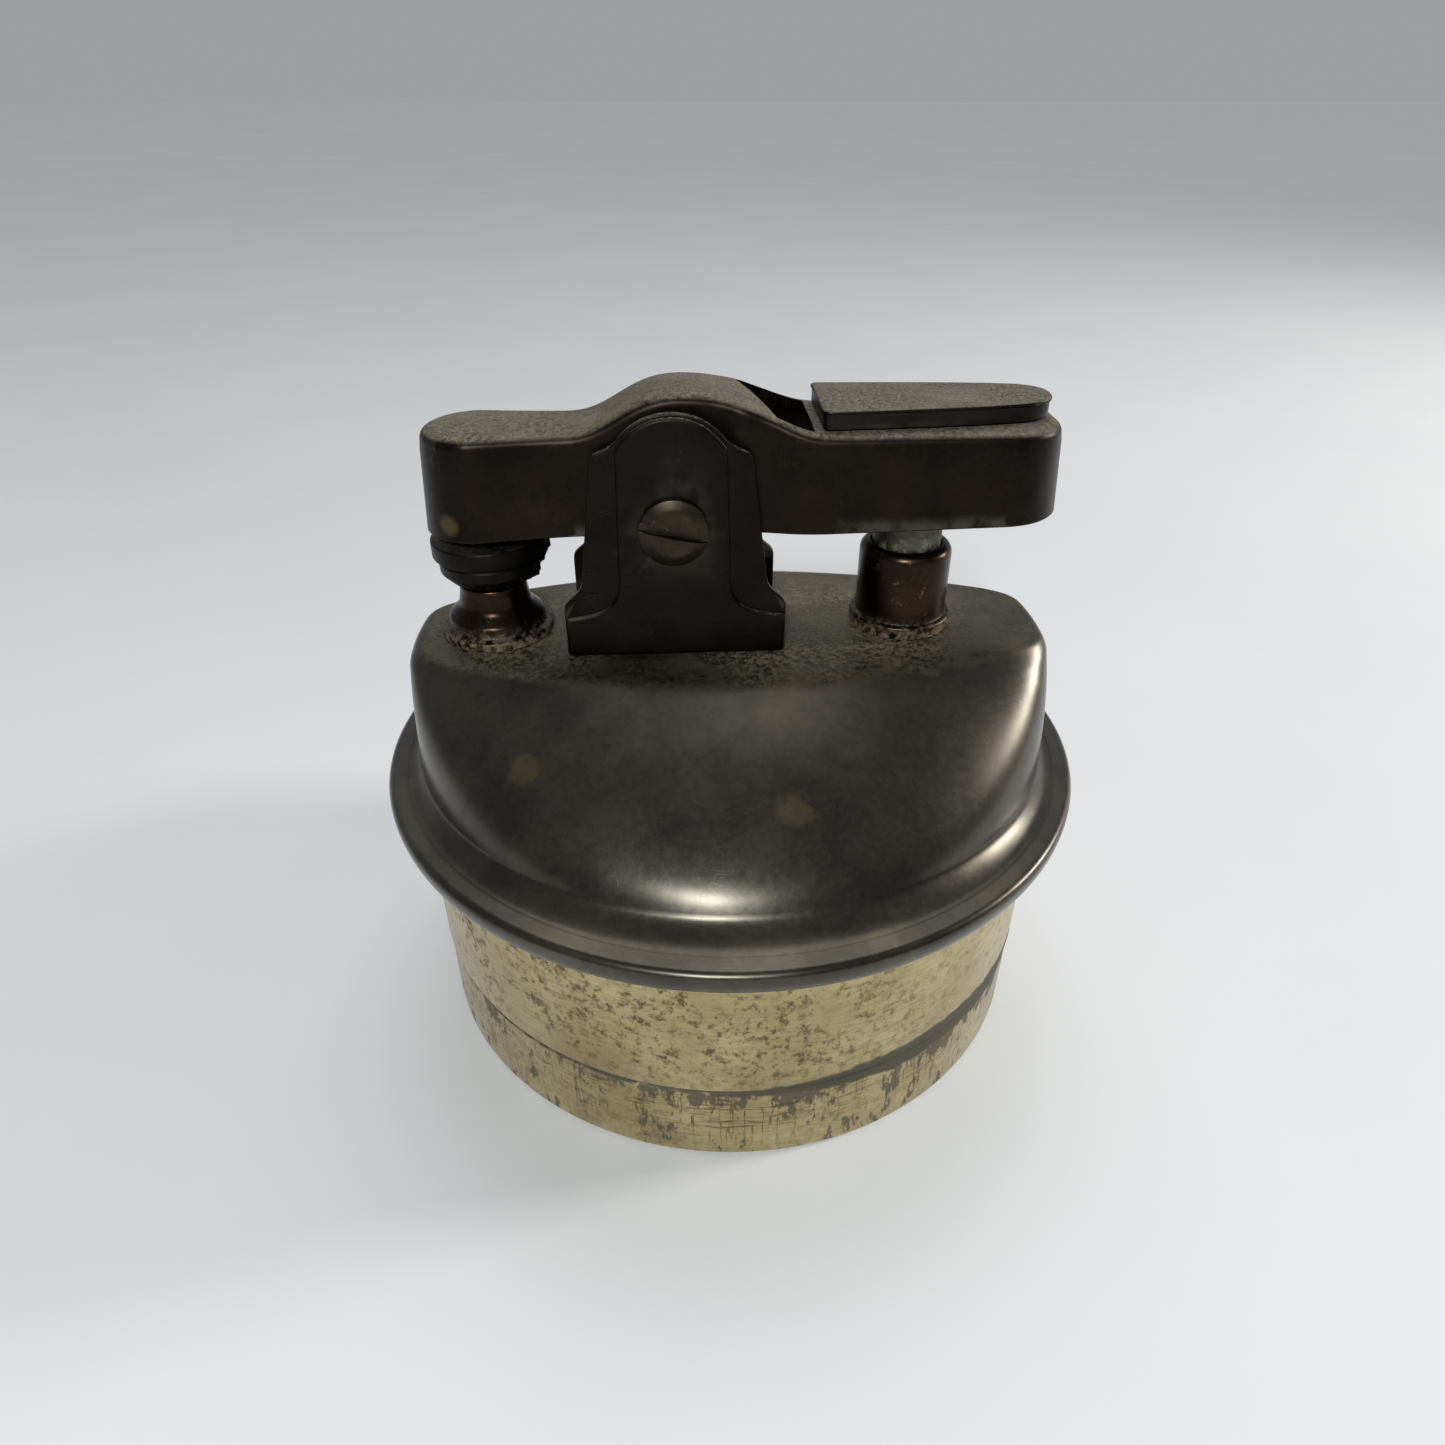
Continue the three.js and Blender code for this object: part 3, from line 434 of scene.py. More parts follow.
def done(look, bump_strength=0.25, bump_distance=0.05):
    """Connects a look's colour, roughness, metal and bump, and gives its material."""
    look.set("Base Color", look.colour)
    look.set("Roughness", look.rough)
    if look.dirt is not None:
        metallic = look.shader.inputs["Metallic"].default_value
        look.set("Metallic", look.blend(look.times(look.dirt, 1.0, clamp=True), metallic, 0.0))
    look.set("Normal", look.bump(look.height, bump_strength, bump_distance))
    return look.material


WORN_BRONZE = (0.13, 0.115, 0.09)
WORN_DARK = (0.06, 0.052, 0.042)
WORN_BRASS = (0.40, 0.29, 0.13)


def dome_bronze():
    look = patina("dome_bronze", (0.040, 0.034, 0.023), (0.085, 0.072, 0.050), WORN_BRONZE, 0.32,
                  edge=(0.53, 0.62), scratched=0.25)
    look.shader.inputs["Coat Roughness"].default_value = 0.33
    front = -FLANGE_R * 0.66
    for x, y, z, radius in ((3.2, front, 27.2, 1.4), (-15.2, front * 0.78, 28.7, 1.2)):
        spot = look.times(look.near(x, y, z, radius, 1.6), 0.2)
        look.colour = look.mix(spot, look.colour, WORN_BRASS)
    flat = look.between(look.axis("Z"), (PLATEAU_Z - 0.5) * MM, (PLATEAU_Z - 0.1) * MM)
    look.set("Coat Weight", look.blend(flat, 0.5, 0.0))
    posts = look.near(4, 0, PLATEAU_Z, 9.5, 0.6)
    for x in (WICK_X + 2.5, PLUNGER_X - 2.5):
        posts = look.larger(posts, look.near(x, 0, PLATEAU_Z, 8.0, 0.6))
    powder = look.between(look.noise(0.45, detail=8, rough=0.85, shift=(2, 9, 4)), 0.44, 0.54)
    share = look.times(look.times(flat, look.blend(posts, 0.25, 1.0)), powder)
    film = look.times(look.times(look.between(look.noise(3.0), 0.3, 0.7), flat), 0.35)
    # The plateau's dust is real; its colour, darker than DUST on the arm, is partly painted shade from the
    # arm above.
    add_dust(look, look.larger(share, film), (0.13, 0.108, 0.070))
    return done(look)


def arm_bronze():
    # Painted shade: these base colours are several times darker than the dome's bronze of the same finish,
    # standing in for the dark surroundings reflected in the arm's front faces; the worn spot and the dust on
    # top are real.
    look = patina("arm_bronze", (0.010, 0.0070, 0.0048), (0.019, 0.0135, 0.0095), WORN_DARK, 0.38,
                  dust=1.0, scratched=0.3)
    left = ARM_LOW.x + 2.2
    spot = look.times(look.near(left, -3.6, ARM_LOW.z + 1.3, 0.9), 0.2)
    look.colour = look.mix(spot, look.colour, WORN_BRASS)
    return done(look)


def pad_bronze():
    # Painted shade: base colours several times darker than the dome's bronze of the same finish, standing in
    # for the dark surroundings reflected in the pad's sides; the dust on top is real.
    look = patina("pad_bronze", (0.012, 0.010, 0.008), (0.022, 0.019, 0.015), WORN_DARK, 0.42, dust=1.0)
    return done(look, 0.35, 0.06)


def bracket_bronze():
    # Painted shade: base colours several times darker than the dome's bronze of the same finish, standing in
    # for the dark surroundings reflected in the bracket's front plates.
    look = patina("bracket_bronze", (0.008, 0.0058, 0.0042), (0.015, 0.0112, 0.0084), WORN_DARK, 0.42,
                  dust=0.6)
    return done(look)


def soot_bronze():
    look = patina("soot_bronze", (0.008, 0.007, 0.006), (0.016, 0.014, 0.011), WORN_DARK, 0.45, dust=0.3)
    return done(look)


def screw_bronze():
    look = patina("screw_bronze", (0.026, 0.020, 0.013), (0.050, 0.040, 0.027), (0.16, 0.13, 0.09), 0.38,
                  edge=(0.62, 0.7), scratched=0.0)
    return done(look)


def worn_copper():
    look = patina("copper_bronze", (0.014, 0.009, 0.006), (0.032, 0.020, 0.012), (0.40, 0.26, 0.13), 0.30,
                  edge=(0.515, 0.57), scratched=0.05)
    glints = look.between(look.noise(1.0, shift=(6, 6, 1)), 0.62, 0.72)
    look.colour = look.mix(look.times(glints, 0.4), look.colour, (0.30, 0.19, 0.10))
    low = look.between(look.axis("Z"), (PLATEAU_Z + 0.2) * MM, (PLATEAU_Z + 1.8) * MM, 1.0, 0.0)
    grime = look.times(low, look.between(look.noise(0.5, detail=8, shift=(1, 8, 3)), 0.4, 0.6))
    add_dust(look, look.times(grime, 0.8), DUST)
    return done(look)


def dusty_steel():
    look = patina("dusty_steel", (0.06, 0.055, 0.04), (0.14, 0.13, 0.095), (0.30, 0.27, 0.20), 0.5)
    blotch = look.between(look.noise(0.7, detail=7, shift=(4, 4, 4)), 0.45, 0.62)
    add_dust(look, look.times(blotch, 0.75), (0.15, 0.155, 0.115))
    return done(look)


def polished_brass():
    """The cup's brass: brown specks, a dark line at the seam, and drips and a scratch grid below it."""
    look = Look("polished_brass", 1.0, 0.3)
    grain = look.noise(0.6, detail=6, rough=0.7)
    height = look.axis("Z")
    colour = look.mix(look.between(look.noise(6), 0.3, 0.7), (0.44, 0.35, 0.18), (0.58, 0.49, 0.27))
    rings = look.noise(0.3, detail=2, stretch=(0.05, 0.05, 1), shift=(3, 1, 2))
    colour = look.mix(look.times(look.between(rings, 0.45, 0.7), 0.35), colour, (0.30, 0.24, 0.12))
    upper = look.between(height, CUP_SEAM_Z * MM, (CUP_SEAM_Z + 3) * MM)
    leftish = look.between(look.axis("X"), 2 * MM, 18 * MM, 1.0, 0.3)
    patches = look.times(look.between(look.noise(7, detail=3, shift=(2, 2, 7)), 0.36, 0.52), leftish)
    patches = look.times(patches, look.blend(upper, 0.35, 1.0))
    specks = look.times(look.between(look.noise(0.8, detail=8, rough=0.78, shift=(9, 4, 2)), 0.47, 0.62),
                       look.blend(patches, 0.15, 1.0))
    colour = look.mix(look.times(specks, 0.8), colour, (0.075, 0.050, 0.028))
    wobble = look.times(look.less(look.noise(7, detail=2, shift=(4, 4, 4)), 0.5), 0.5 * MM)
    off = look.less(look.plus(height, wobble), (CUP_SEAM_Z - 0.2) * MM)
    right = look.between(look.axis("X"), -6 * MM, 16 * MM)
    width = look.plus(look.times(right, 1.1 * MM), 0.42 * MM)
    uneven = look.times(look.noise(1.4, detail=7, rough=0.7), 1.0 * MM)
    line = look.between(look.less(look.plus(look.math("ABSOLUTE", off), uneven), width),
                        0.1 * MM, 0.45 * MM, 1.0, 0.0)
    below = look.between(height, (CUP_SEAM_Z - 4.5) * MM, CUP_SEAM_Z * MM)
    below = look.times(below, look.between(height, (CUP_SEAM_Z - 0.1) * MM, CUP_SEAM_Z * MM, 1.0, 0.0))
    under_seam = look.between(height, CUP_SEAM_Z * MM, (CUP_SEAM_Z + 0.1) * MM, 1.0, 0.0)
    runs = look.noise(1.8, detail=6, rough=0.7, stretch=(1, 1, 0.4), shift=(8, 1, 1))
    soaked = look.times(below, look.blend(right, 0.07, 0.14))
    drips = look.times(look.between(look.plus(runs, soaked), 0.57, 0.61), under_seam)
    stain = look.larger(line, look.times(drips, 0.85))
    colour = look.mix(look.times(stain, 0.95), colour, (0.055, 0.048, 0.030))
    lines_across = look.scratches(0.8, (0.08, 0.08, 1), (2, 5, 1), 0.3)
    lines_down = look.scratches(0.8, (1, 1, 0.1), (6, 2, 3), 0.3)
    band = look.times(look.between(height, 0.5 * MM, 4 * MM, 0.3, 1.0), under_seam)
    grid = look.times(look.larger(lines_across, lines_down), band)
    grid = look.times(grid, look.between(look.noise(4, detail=3, shift=(4, 1, 9)), 0.4, 0.55))
    colour = look.mix(look.times(grid, 0.8), colour, (0.075, 0.058, 0.030))
    shade = look.between(height, (CUP_HIGH.z - 3.2) * MM, (CUP_HIGH.z - 0.8) * MM)
    colour = look.mix(look.times(shade, 0.45), colour, (0.16, 0.12, 0.06))
    look.colour = colour
    look.rough = look.plus(look.times(grain, 0.15), 0.2)
    look.rough = look.blend(look.larger(specks, stain), look.rough, 0.6)
    look.height = look.less(look.times(grain, 0.2), look.times(grid, 0.3))
    look.dirt = look.times(stain, 0.7)
    return done(look, 0.3, 0.04)


def inner_metal(name, dark, light, roughness):
    """Metal of a piece inside: mottled, with fine turning lines."""
    look = Look(name, 1.0, roughness)
    mottle = look.between(look.noise(2.5), 0.3, 0.7)
    look.colour = look.mix(mottle, dark, light)
    turning = look.noise(0.2, detail=2, stretch=(0.1, 0.1, 1))
    look.rough = look.plus(look.times(look.noise(0.8), 0.2), roughness - 0.1)
    look.height = turning
    look.dirt = None
    return done(look, 0.15, 0.02)


def fibrous(name, dark, light, size):
    """Cotton, charred wick, fibre washer or flint: no metal, rough, with strands or grain."""
    look = Look(name, 0.0, 0.95)
    strands = look.noise(size, detail=6, rough=0.75, stretch=(1, 1, 0.3), distortion=0.6)
    look.colour = look.mix(look.between(strands, 0.35, 0.65), dark, light)
    look.rough = look.between(strands, 0.2, 0.8, 0.85, 1.0)
    look.height = strands
    look.dirt = None
    return done(look, 0.8, size * 0.3)


# ---------------------------------------------------------------- dome
# The same surface as the CAD dome: turned, with the front and back pressed in and a rounded ridge between.
DOME_RISE = 10                     # from the flange to the plateau
FLANGE_TOP_Z = PLATEAU_Z - DOME_RISE
END_WALL_R = FLANGE_R - 2.8
END_WALL_TOP_R = FLANGE_R - 3.1
FILLET = 1.3                       # at the foot of the walls, and round the plateau
FOOT_Z = FLANGE_TOP_Z + FILLET
SHOULDER_OF_DOME_Z = PLATEAU_Z - FILLET
PLATEAU_HALF_WIDTH = 9.35
FACE_TOP_RADIUS = 61
FACE_FOOT_RADIUS = 26.5
FACE_BULGE = 0.6
RIDGE_ROUND = 2.4
CREASE_R = 4.5                     # rounding of the crease along the front and back of the plateau
DOME_SEGMENTS = 288
SHELL = 0.9


def quarter_round(past):
    """How far a quarter round of radius FILLET has come in at a distance past its start."""
    return FILLET - math.sqrt(FILLET ** 2 - min(max(past, 0), FILLET) ** 2)


def end_wall_radius(z):
    share = min(max((z - FOOT_Z) / (SHOULDER_OF_DOME_Z - FOOT_Z), 0), 1)
    return END_WALL_R + (END_WALL_TOP_R - END_WALL_R) * share - quarter_round(z - SHOULDER_OF_DOME_Z)


def face_half_width(depth):
    """Half the distance between the front and back faces, at a depth below the plateau."""
    fall = depth / DOME_RISE
    spread = END_WALL_R - PLATEAU_HALF_WIDTH
    slope = spread * (1 + FACE_BULGE) / DOME_RISE
    tilt = math.atan(1 / slope)
    if depth < CREASE_R * (1 - math.cos(tilt)):
        start = PLATEAU_HALF_WIDTH - CREASE_R * math.tan(tilt / 2)
        return start + math.sqrt(CREASE_R ** 2 - (CREASE_R - depth) ** 2)
    return PLATEAU_HALF_WIDTH + spread * ((1 + FACE_BULGE) * fall - FACE_BULGE * fall ** 2)


def face_radius(angle, z):
    """Distance from the axis to the front or back face, at an angle from the Y axis."""
    depth = max(PLATEAU_Z - z, 0)
    half_width = face_half_width(depth)
    turn = (depth / DOME_RISE) ** 0.7
    plan_radius = 1 / ((1 - turn) / FACE_TOP_RADIUS + turn / FACE_FOOT_RADIUS)
    centre = plan_radius - half_width
    return math.sqrt(plan_radius ** 2 - (centre * math.sin(angle)) ** 2) - centre * abs(math.cos(angle))


def rounded_minimum(a, b, blend):
    close = max(blend - abs(a - b), 0) / blend
    return min(a, b) - close * close * blend / 4


def dome_radius(angle, z, inset=0.0):
    """Radius of the dome's wall at a compass angle and height; inset gives the surface inside it."""
    outer_z = min(z + inset, PLATEAU_Z)
    blend = RIDGE_ROUND * min(1, outer_z - FLANGE_TOP_Z) + 1e-6
    flare = 0 if inset else quarter_round(FOOT_Z - z)
    face = face_radius(math.pi / 2 - angle, outer_z)
    return rounded_minimum(end_wall_radius(outer_z), face, blend) + flare - inset


def dome_shell():
    wall_heights = [SHOULDER_OF_DOME_Z + FILLET * math.sin(math.radians(a)) for a in steps(90, 0, 12)]
    wall_heights += steps(SHOULDER_OF_DOME_Z, FOOT_Z, 20)[1:]
    wall_heights += [FOOT_Z - FILLET * math.sin(math.radians(a)) for a in steps(0, 86, 10)[1:]]
    edge = Path(26.42, FLANGE_TOP_Z + 0.03, 0.15).line(26.62, FLANGE_TOP_Z - 0.02)
    edge.line(FLANGE_R - 0.6, FLANGE_TOP_Z - 0.1).arc(FLANGE_R - 0.6, FLANGE_TOP_Z - 0.7, 0.6, 90, 0)
    edge.bezier((FLANGE_R, DOME_LOW.z + 1), (FLANGE_R - 0.3, DOME_LOW.z + 0.1), (FLANGE_R - 1.4, DOME_LOW.z))
    ledge = CUP_HIGH.z + 0.4
    lip_r = CUP_R + 0.3
    inner_top = PLATEAU_Z - SHELL
    inner_heights = steps(FLANGE_TOP_Z, inner_top - 0.05, 12)
    angles = [TURN * i / DOME_SEGMENTS for i in range(DOME_SEGMENTS)]

    def plateau_ring(share, z, inset=0.0):
        return [(dome_radius(a, PLATEAU_Z, inset) * share, z) for a in angles]

    rows = [plateau_ring(share, PLATEAU_Z) for share in steps(0.1, 0.9, 8)]
    rows += [[(dome_radius(a, z), z) for a in angles] for z in wall_heights]
    rows += [[(r, z)] * DOME_SEGMENTS for r, z in edge.points]
    rows += [[(r, z)] * DOME_SEGMENTS for r, z in ((lip_r + 0.2, DOME_LOW.z), (lip_r, DOME_LOW.z + 0.2),
                                                     (lip_r, ledge))]
    rows += [[(min(dome_radius(a, z, SHELL), lip_r - 1), z) for a in angles] for z in inner_heights]
    rows += [plateau_ring(share, inner_top, SHELL) for share in (0.95, 0.6, 0.3)]
    points = [(radius * math.cos(a), radius * math.sin(a), z)
              for row in rows for a, (radius, z) in zip(angles, row)]
    faces = rings_to_faces(len(rows), DOME_SEGMENTS, closed=False)
    faces.append(tuple(range(DOME_SEGMENTS)))
    faces.append(tuple(range(len(points) - DOME_SEGMENTS, len(points))))
    shell = new_object("dome", points, faces, 40)
    low, high = inner_top - 1, PLATEAU_Z + 1
    cutters = [cylinder(radius + FIT, low, high, x) for radius, x in (
        (TUBE_R, PIVOT_X), (WICK_TAIL_R, WICK_X), (WELL_R, PLUNGER_X))]
    return combine(shell, cutters, sharp_degrees=40)


# ---------------------------------------------------------------- cup
def tank_cup():
    seam_r = CUP_R - 0.12
    wall, foot_r, foot_inner = 0.7, 25.0, 21.4
    cup = lathe("cup", [
        (0, 1.6, 0), (foot_inner - 0.7, 1.6, 0.4), (foot_inner + 0.1, 0, 0.5), (foot_r, 0, 0),
        (seam_r, 0.15, 0.4), (seam_r, CUP_SEAM_Z - 0.35, 0.1), (seam_r - 0.22, CUP_SEAM_Z - 0.2, 0.08),
        (seam_r - 0.22, CUP_SEAM_Z, 0.08), (CUP_R, CUP_SEAM_Z + 0.15, 0.1), (CUP_R, CUP_HIGH.z, 0.1),
        (CUP_R - wall, CUP_HIGH.z, 0.1), (CUP_R - wall, 0.9, 0.3), (foot_inner + 0.5, 0.9, 0.2),
        (foot_inner, 2.4, 0.4), (0, 2.4, 0)], segments=256)
    return combine(cup, [cylinder(TUBE_R + FIT, 0, 4, x) for x in (PIVOT_X, FILLER_X)])


# ---------------------------------------------------------------- arm and thumb pad
ARM_END_R = 4.3
ARM_WAIST = 3.65
ARM_WIDE = ARM_HIGH.y
ARM_CORNER_R = 4.4
ARM_TOP_Z = PAD_LOW.z - 0.2
ARM_ROUND = 0.75                   # rounding of the cover's top edge
ARM_DRAFT = 0.45                   # how far each side leans out from its top to its bottom
ARM_CROWN = 0.12                   # rise of the cover's top at its middle
ARM_LOW_LEFT_Z = ARM_LOW.z
ARM_LOW_RIGHT_Z = ARM_LOW.z + 1


def arm_half_plan():
    """The front half of the arm in plan, from its left tip to its right tip."""
    left = ARM_LOW.x + ARM_END_R
    right = ARM_HIGH.x - ARM_CORNER_R
    wide_y = -ARM_WIDE + ARM_CORNER_R
    path = Path(ARM_LOW.x, 0).arc(left, 0, ARM_END_R, 180, 262)
    path.bezier((left + 0.6, -ARM_END_R), (left + 3, -ARM_WAIST), (-11, -ARM_WAIST)).line(-1.8, -ARM_WAIST)
    path.bezier((-0.4, -ARM_WAIST), (-0.2, -ARM_WAIST - 0.5), (1.2, -ARM_WAIST - 0.55))
    path.bezier((3, -ARM_WAIST - 0.6), (3.8, -ARM_WIDE), (7, -ARM_WIDE)).line(right, -ARM_WIDE)
    path.arc(right, wide_y, ARM_CORNER_R, -90, 0)
    return path.line(ARM_HIGH.x, 0).points


def arm_top_line():
    """The cover's top in side view: level, a hump over the spark wheel, level again."""
    top, hump_x = ARM_TOP_Z, PIVOT_X + 0.7
    path = Path(ARM_LOW.x - 1, top - 0.05, 0.15).line(-11.6, top)
    path.bezier((-8.4, top + 0.05), (-7.4, ARM_HIGH.z), (hump_x, ARM_HIGH.z))
    path.bezier((1.6, ARM_HIGH.z), (3.4, top + 0.1), (6.6, top + 0.08)).line(ARM_HIGH.x + 1, top + 0.05)
    return path.points


def height_on(line, x):
    """Height at x on a line of (x, z) points that runs from left to right."""
    for (x0, z0), (x1, z1) in zip(line, line[1:]):
        if x <= x1:
            return z0 + (z1 - z0) * max(0, x - x0) / (x1 - x0)
    return line[-1][1]


def inset_plan(half, inset):
    """A half plan moved inwards by inset along its own normals; its ends stay on the middle line."""
    moved = []
    for i, (x, y) in enumerate(half):
        before, after = Vector(half[max(i - 1, 0)]), Vector(half[min(i + 1, len(half) - 1)])
        along = (after - before).normalized()
        if i == 0:
            along = Vector((0, -1))
        if i == len(half) - 1:
            along = Vector((0, 1))
        moved.append((x - along.y * inset, min(y + along.x * inset, 0)))
    return moved


def full_ring(half, height):
    """A closed ring of points from a half plan, with height(x, y, i) giving each one's z."""
    back = [(x, -y) for x, y in reversed(half[1:-1])]
    return [(x, y, height(x, y)) for x, y in [*half, *back]]


def cap_rows(half, height, rows=10):
    """Points of the surface inside a half plan's ring, as rows from its front to its back."""
    inner = half[1:-1]
    return [[(x, y * (1 - 2 * row / rows), height(x, y * (1 - 2 * row / rows))) for x, y in inner]
            for row in range(1, rows)]


class Shell:
    """Collects the points and faces of a closed skin made of rings and two caps."""

    def __init__(self):
        self.points = []
        self.faces = []
        self.last = None

    def ring(self, ring):
        start = len(self.points)
        self.points += ring
        here = range(start, start + len(ring))
        if self.last is not None:
            for i in range(len(ring)):
                j = (i + 1) % len(ring)
                self.faces.append((self.last[i], self.last[j], here[j], here[i]))
        self.last = here

    def cap(self, half, height, ring_indices):
        """Closes the ring with a grid that runs from its front to its back."""
        count = len(half)
        front = list(ring_indices[1:count - 1])
        back = list(reversed(ring_indices[count:]))
        rows = cap_rows(half, height)
        grid = [front]
        for row in rows:
            start = len(self.points)
            self.points += row
            grid.append(list(range(start, start + len(row))))
        grid.append(back)
        for here, there in zip(grid, grid[1:]):
            for i in range(len(here) - 1):
                self.faces.append((here[i], here[i + 1], there[i + 1], there[i]))
            self.faces.append((ring_indices[0], here[0], there[0]))
            self.faces.append((here[-1], ring_indices[count - 1], there[-1]))


def rocker_arm(cut_material):
    half = arm_half_plan()
    top_line = arm_top_line()

    def top(x):
        return height_on(top_line, x)

    def bottom(x):
        share = (x - ARM_LOW.x) / (ARM_HIGH.x - ARM_LOW.x)
        return ARM_LOW_LEFT_Z + (ARM_LOW_RIGHT_Z - ARM_LOW_LEFT_Z) * share

    def crown(x, y, inset):
        return top(x) - inset - ARM_CROWN * (y / ARM_WIDE) ** 2

    shell = Shell()
    outer_cap = inset_plan(half, ARM_ROUND + ARM_DRAFT * 0.5)
    first = full_ring(outer_cap, lambda x, y: crown(x, y, 0))
    shell.ring(first)
    top_ring = shell.last
    shell.cap(outer_cap, lambda x, y: crown(x, y, 0), top_ring)
    for angle in steps(15, 90, 5):
        turn = math.radians(angle)
        plan = inset_plan(half, ARM_ROUND * (1 - math.sin(turn)) + ARM_DRAFT * 0.5)
        drop = ARM_ROUND * (1 - math.cos(turn)) + ARM_CROWN * 0.6
        shell.ring(full_ring(plan, lambda x, y: top(x) - drop))
    for share in (0.2, 0.4, 0.6, 0.8, 0.97):
        plan = inset_plan(half, ARM_DRAFT * (0.5 - share))
        shell.ring(full_ring(plan, lambda x, y: top(x) + (bottom(x) - top(x)) * share))
    rim = ((0.0, 0.1), (0.08, 0.02), (0.2, 0), (SHEET - 0.2, 0), (SHEET - 0.08, 0.02), (SHEET, 0.1))
    for inset, rise in rim:
        shell.ring(full_ring(inset_plan(half, inset - ARM_DRAFT * 0.5), lambda x, y: bottom(x) + rise))
    for share in (0.2, 0.6):
        plan = inset_plan(half, SHEET + ARM_DRAFT * (share - 0.5))
        shell.ring(full_ring(plan, lambda x, y: bottom(x) + (top(x) - SHEET - bottom(x)) * share))
    inner_round = 0.5
    for angle in steps(90, 0, 4):
        turn = math.radians(angle)
        plan = inset_plan(half, SHEET + ARM_DRAFT * 0.5 + inner_round * (1 - math.sin(turn)))
        drop = inner_round * (1 - math.cos(turn)) + SHEET
        shell.ring(full_ring(plan, lambda x, y: top(x) - drop - ARM_CROWN))
    shell.cap(plan, lambda x, y: crown(x, y, SHEET), shell.last)
    arm = new_object("arm_cover", shell.points, shell.faces, 30)
    window = Path(2.9, -3.5).line(PAD_LOW.x - 0.5, -3.9).line(PAD_LOW.x - 0.5, 3.9).line(0.2, 3.4)
    window.bezier((1.7, 0.6), (2.9, -3.5))
    opening = prism("cutter", window.points[:-1], PIN_Z + 1.6, ARM_HIGH.z + 1)
    opening.data.materials.append(cut_material)
    bore = (BUSH_HIGH.x - BUSH_LOW.x) / 2 + 0.08
    pin_r = (PIN_HIGH.x - PIN_LOW.x) / 2 + 0.05
    pin_hole = cylinder(pin_r, -PIN_HIGH.y, PIN_HIGH.y, PIN_X, PIN_Z, 32)
    return arm, [opening, cylinder(bore, -8, 8, PIVOT_X, PIVOT_Z), pin_hole]


def pad_half_plan():
    """The front half of the thumb pad: a rounded left corner, a long taper and a round right end."""
    half_width, end_r, corner = PAD_HIGH.y, 2.85, 0.6
    left, right = PAD_LOW.x, PAD_HIGH.x
    path = Path(left, 0).line(left, corner - half_width)
    path.arc(left + corner, corner - half_width, corner, 180, 270)
    path.bezier((left + 5, -half_width + 0.25), (right - 6, -end_r - 0.55), (right - end_r, -end_r + 0.1))
    path.bezier((right - end_r + 1.7, -end_r + 0.35), (right, -1.7), (right, 0))
    return path.points


def thumb_pad():
    half = pad_half_plan()
    shell = Shell()
    edge, undercut, lip = 0.16, 0.12, 0.3

    def top(x, y):
        return PAD_HIGH.z - 0.1 * (y / PAD_HIGH.y) ** 2

    cap = inset_plan(half, edge)
    shell.ring(full_ring(cap, top))
    shell.cap(cap, top, shell.last)
    for angle in steps(30, 90, 3):
        turn = math.radians(angle)
        plan = inset_plan(half, edge * (1 - math.sin(turn)))
        drop = edge * (1 - math.cos(turn))
        shell.ring(full_ring(plan, lambda x, y: top(x, y) - drop))
    for inset, drop in ((0.0, lip - 0.1), (0.04, lip), (undercut, lip + 0.05), (undercut, lip + 0.3)):
        shell.ring(full_ring(inset_plan(half, inset), lambda x, y: PAD_HIGH.z - drop))
    foot = inset_plan(half, undercut)
    shell.ring(full_ring(foot, lambda x, y: PAD_LOW.z))
    shell.cap(foot, lambda x, y: PAD_LOW.z, shell.last)
    return new_object("thumb_rest", shell.points, shell.faces, 30)


# ---------------------------------------------------------------- bracket and pivot screw
BRACKET_FOOT_Z = BRACKET_LOW.z
ARCH_TOP_Z = BRACKET_HIGH.z
BRACKET_HALF = BRACKET_HIGH.x - PIVOT_X
SHOULDER_Z = ARCH_TOP_Z - 2.7
PANEL_RAISE = 0.35
PLATE_OUTER_Y = BRACKET_HIGH.y - PANEL_RAISE
PLATE_INNER_Y = PLATE_OUTER_Y - SHEET


def mirrored(half):
    """A full outline about the pivot from its right half, which starts and ends on the middle line."""
    left = [(-x, z) for x, z in reversed(half[1:-1])]
    return [(x + PIVOT_X, z) for x, z in [*half, *left]]


def plate_outline():
    half = Path(0, BRACKET_FOOT_Z, 0.5).line(BRACKET_HALF, BRACKET_FOOT_Z).line(BRACKET_HALF, 35.8)
    half.bezier((BRACKET_HALF, 36.8), (6.9, 36.6), (6.65, 38.1)).line(5.6, SHOULDER_Z - 0.6)
    half.bezier((5.5, SHOULDER_Z), (4.9, SHOULDER_Z + 0.15))
    half.bezier((4.1, SHOULDER_Z + 0.4), (3.7, SHOULDER_Z + 0.9))
    half.bezier((2.9, 49.2), (1.7, ARCH_TOP_Z), (0, ARCH_TOP_Z))
    return mirrored(half.points)


def panel_outline():
    edge = BRACKET_HALF - 0.05
    half = Path(0, BRACKET_FOOT_Z + 0.05, 0.5).line(edge, BRACKET_FOOT_Z + 0.05).line(edge, 35.2)
    half.bezier((6, 35.6), (4.1, 35.6), (4, 38)).line(3.8, SHOULDER_Z + 0.4)
    half.bezier((2.8, 49), (1.7, ARCH_TOP_Z - 0.2), (0, ARCH_TOP_Z - 0.2))
    return mirrored(half.points)


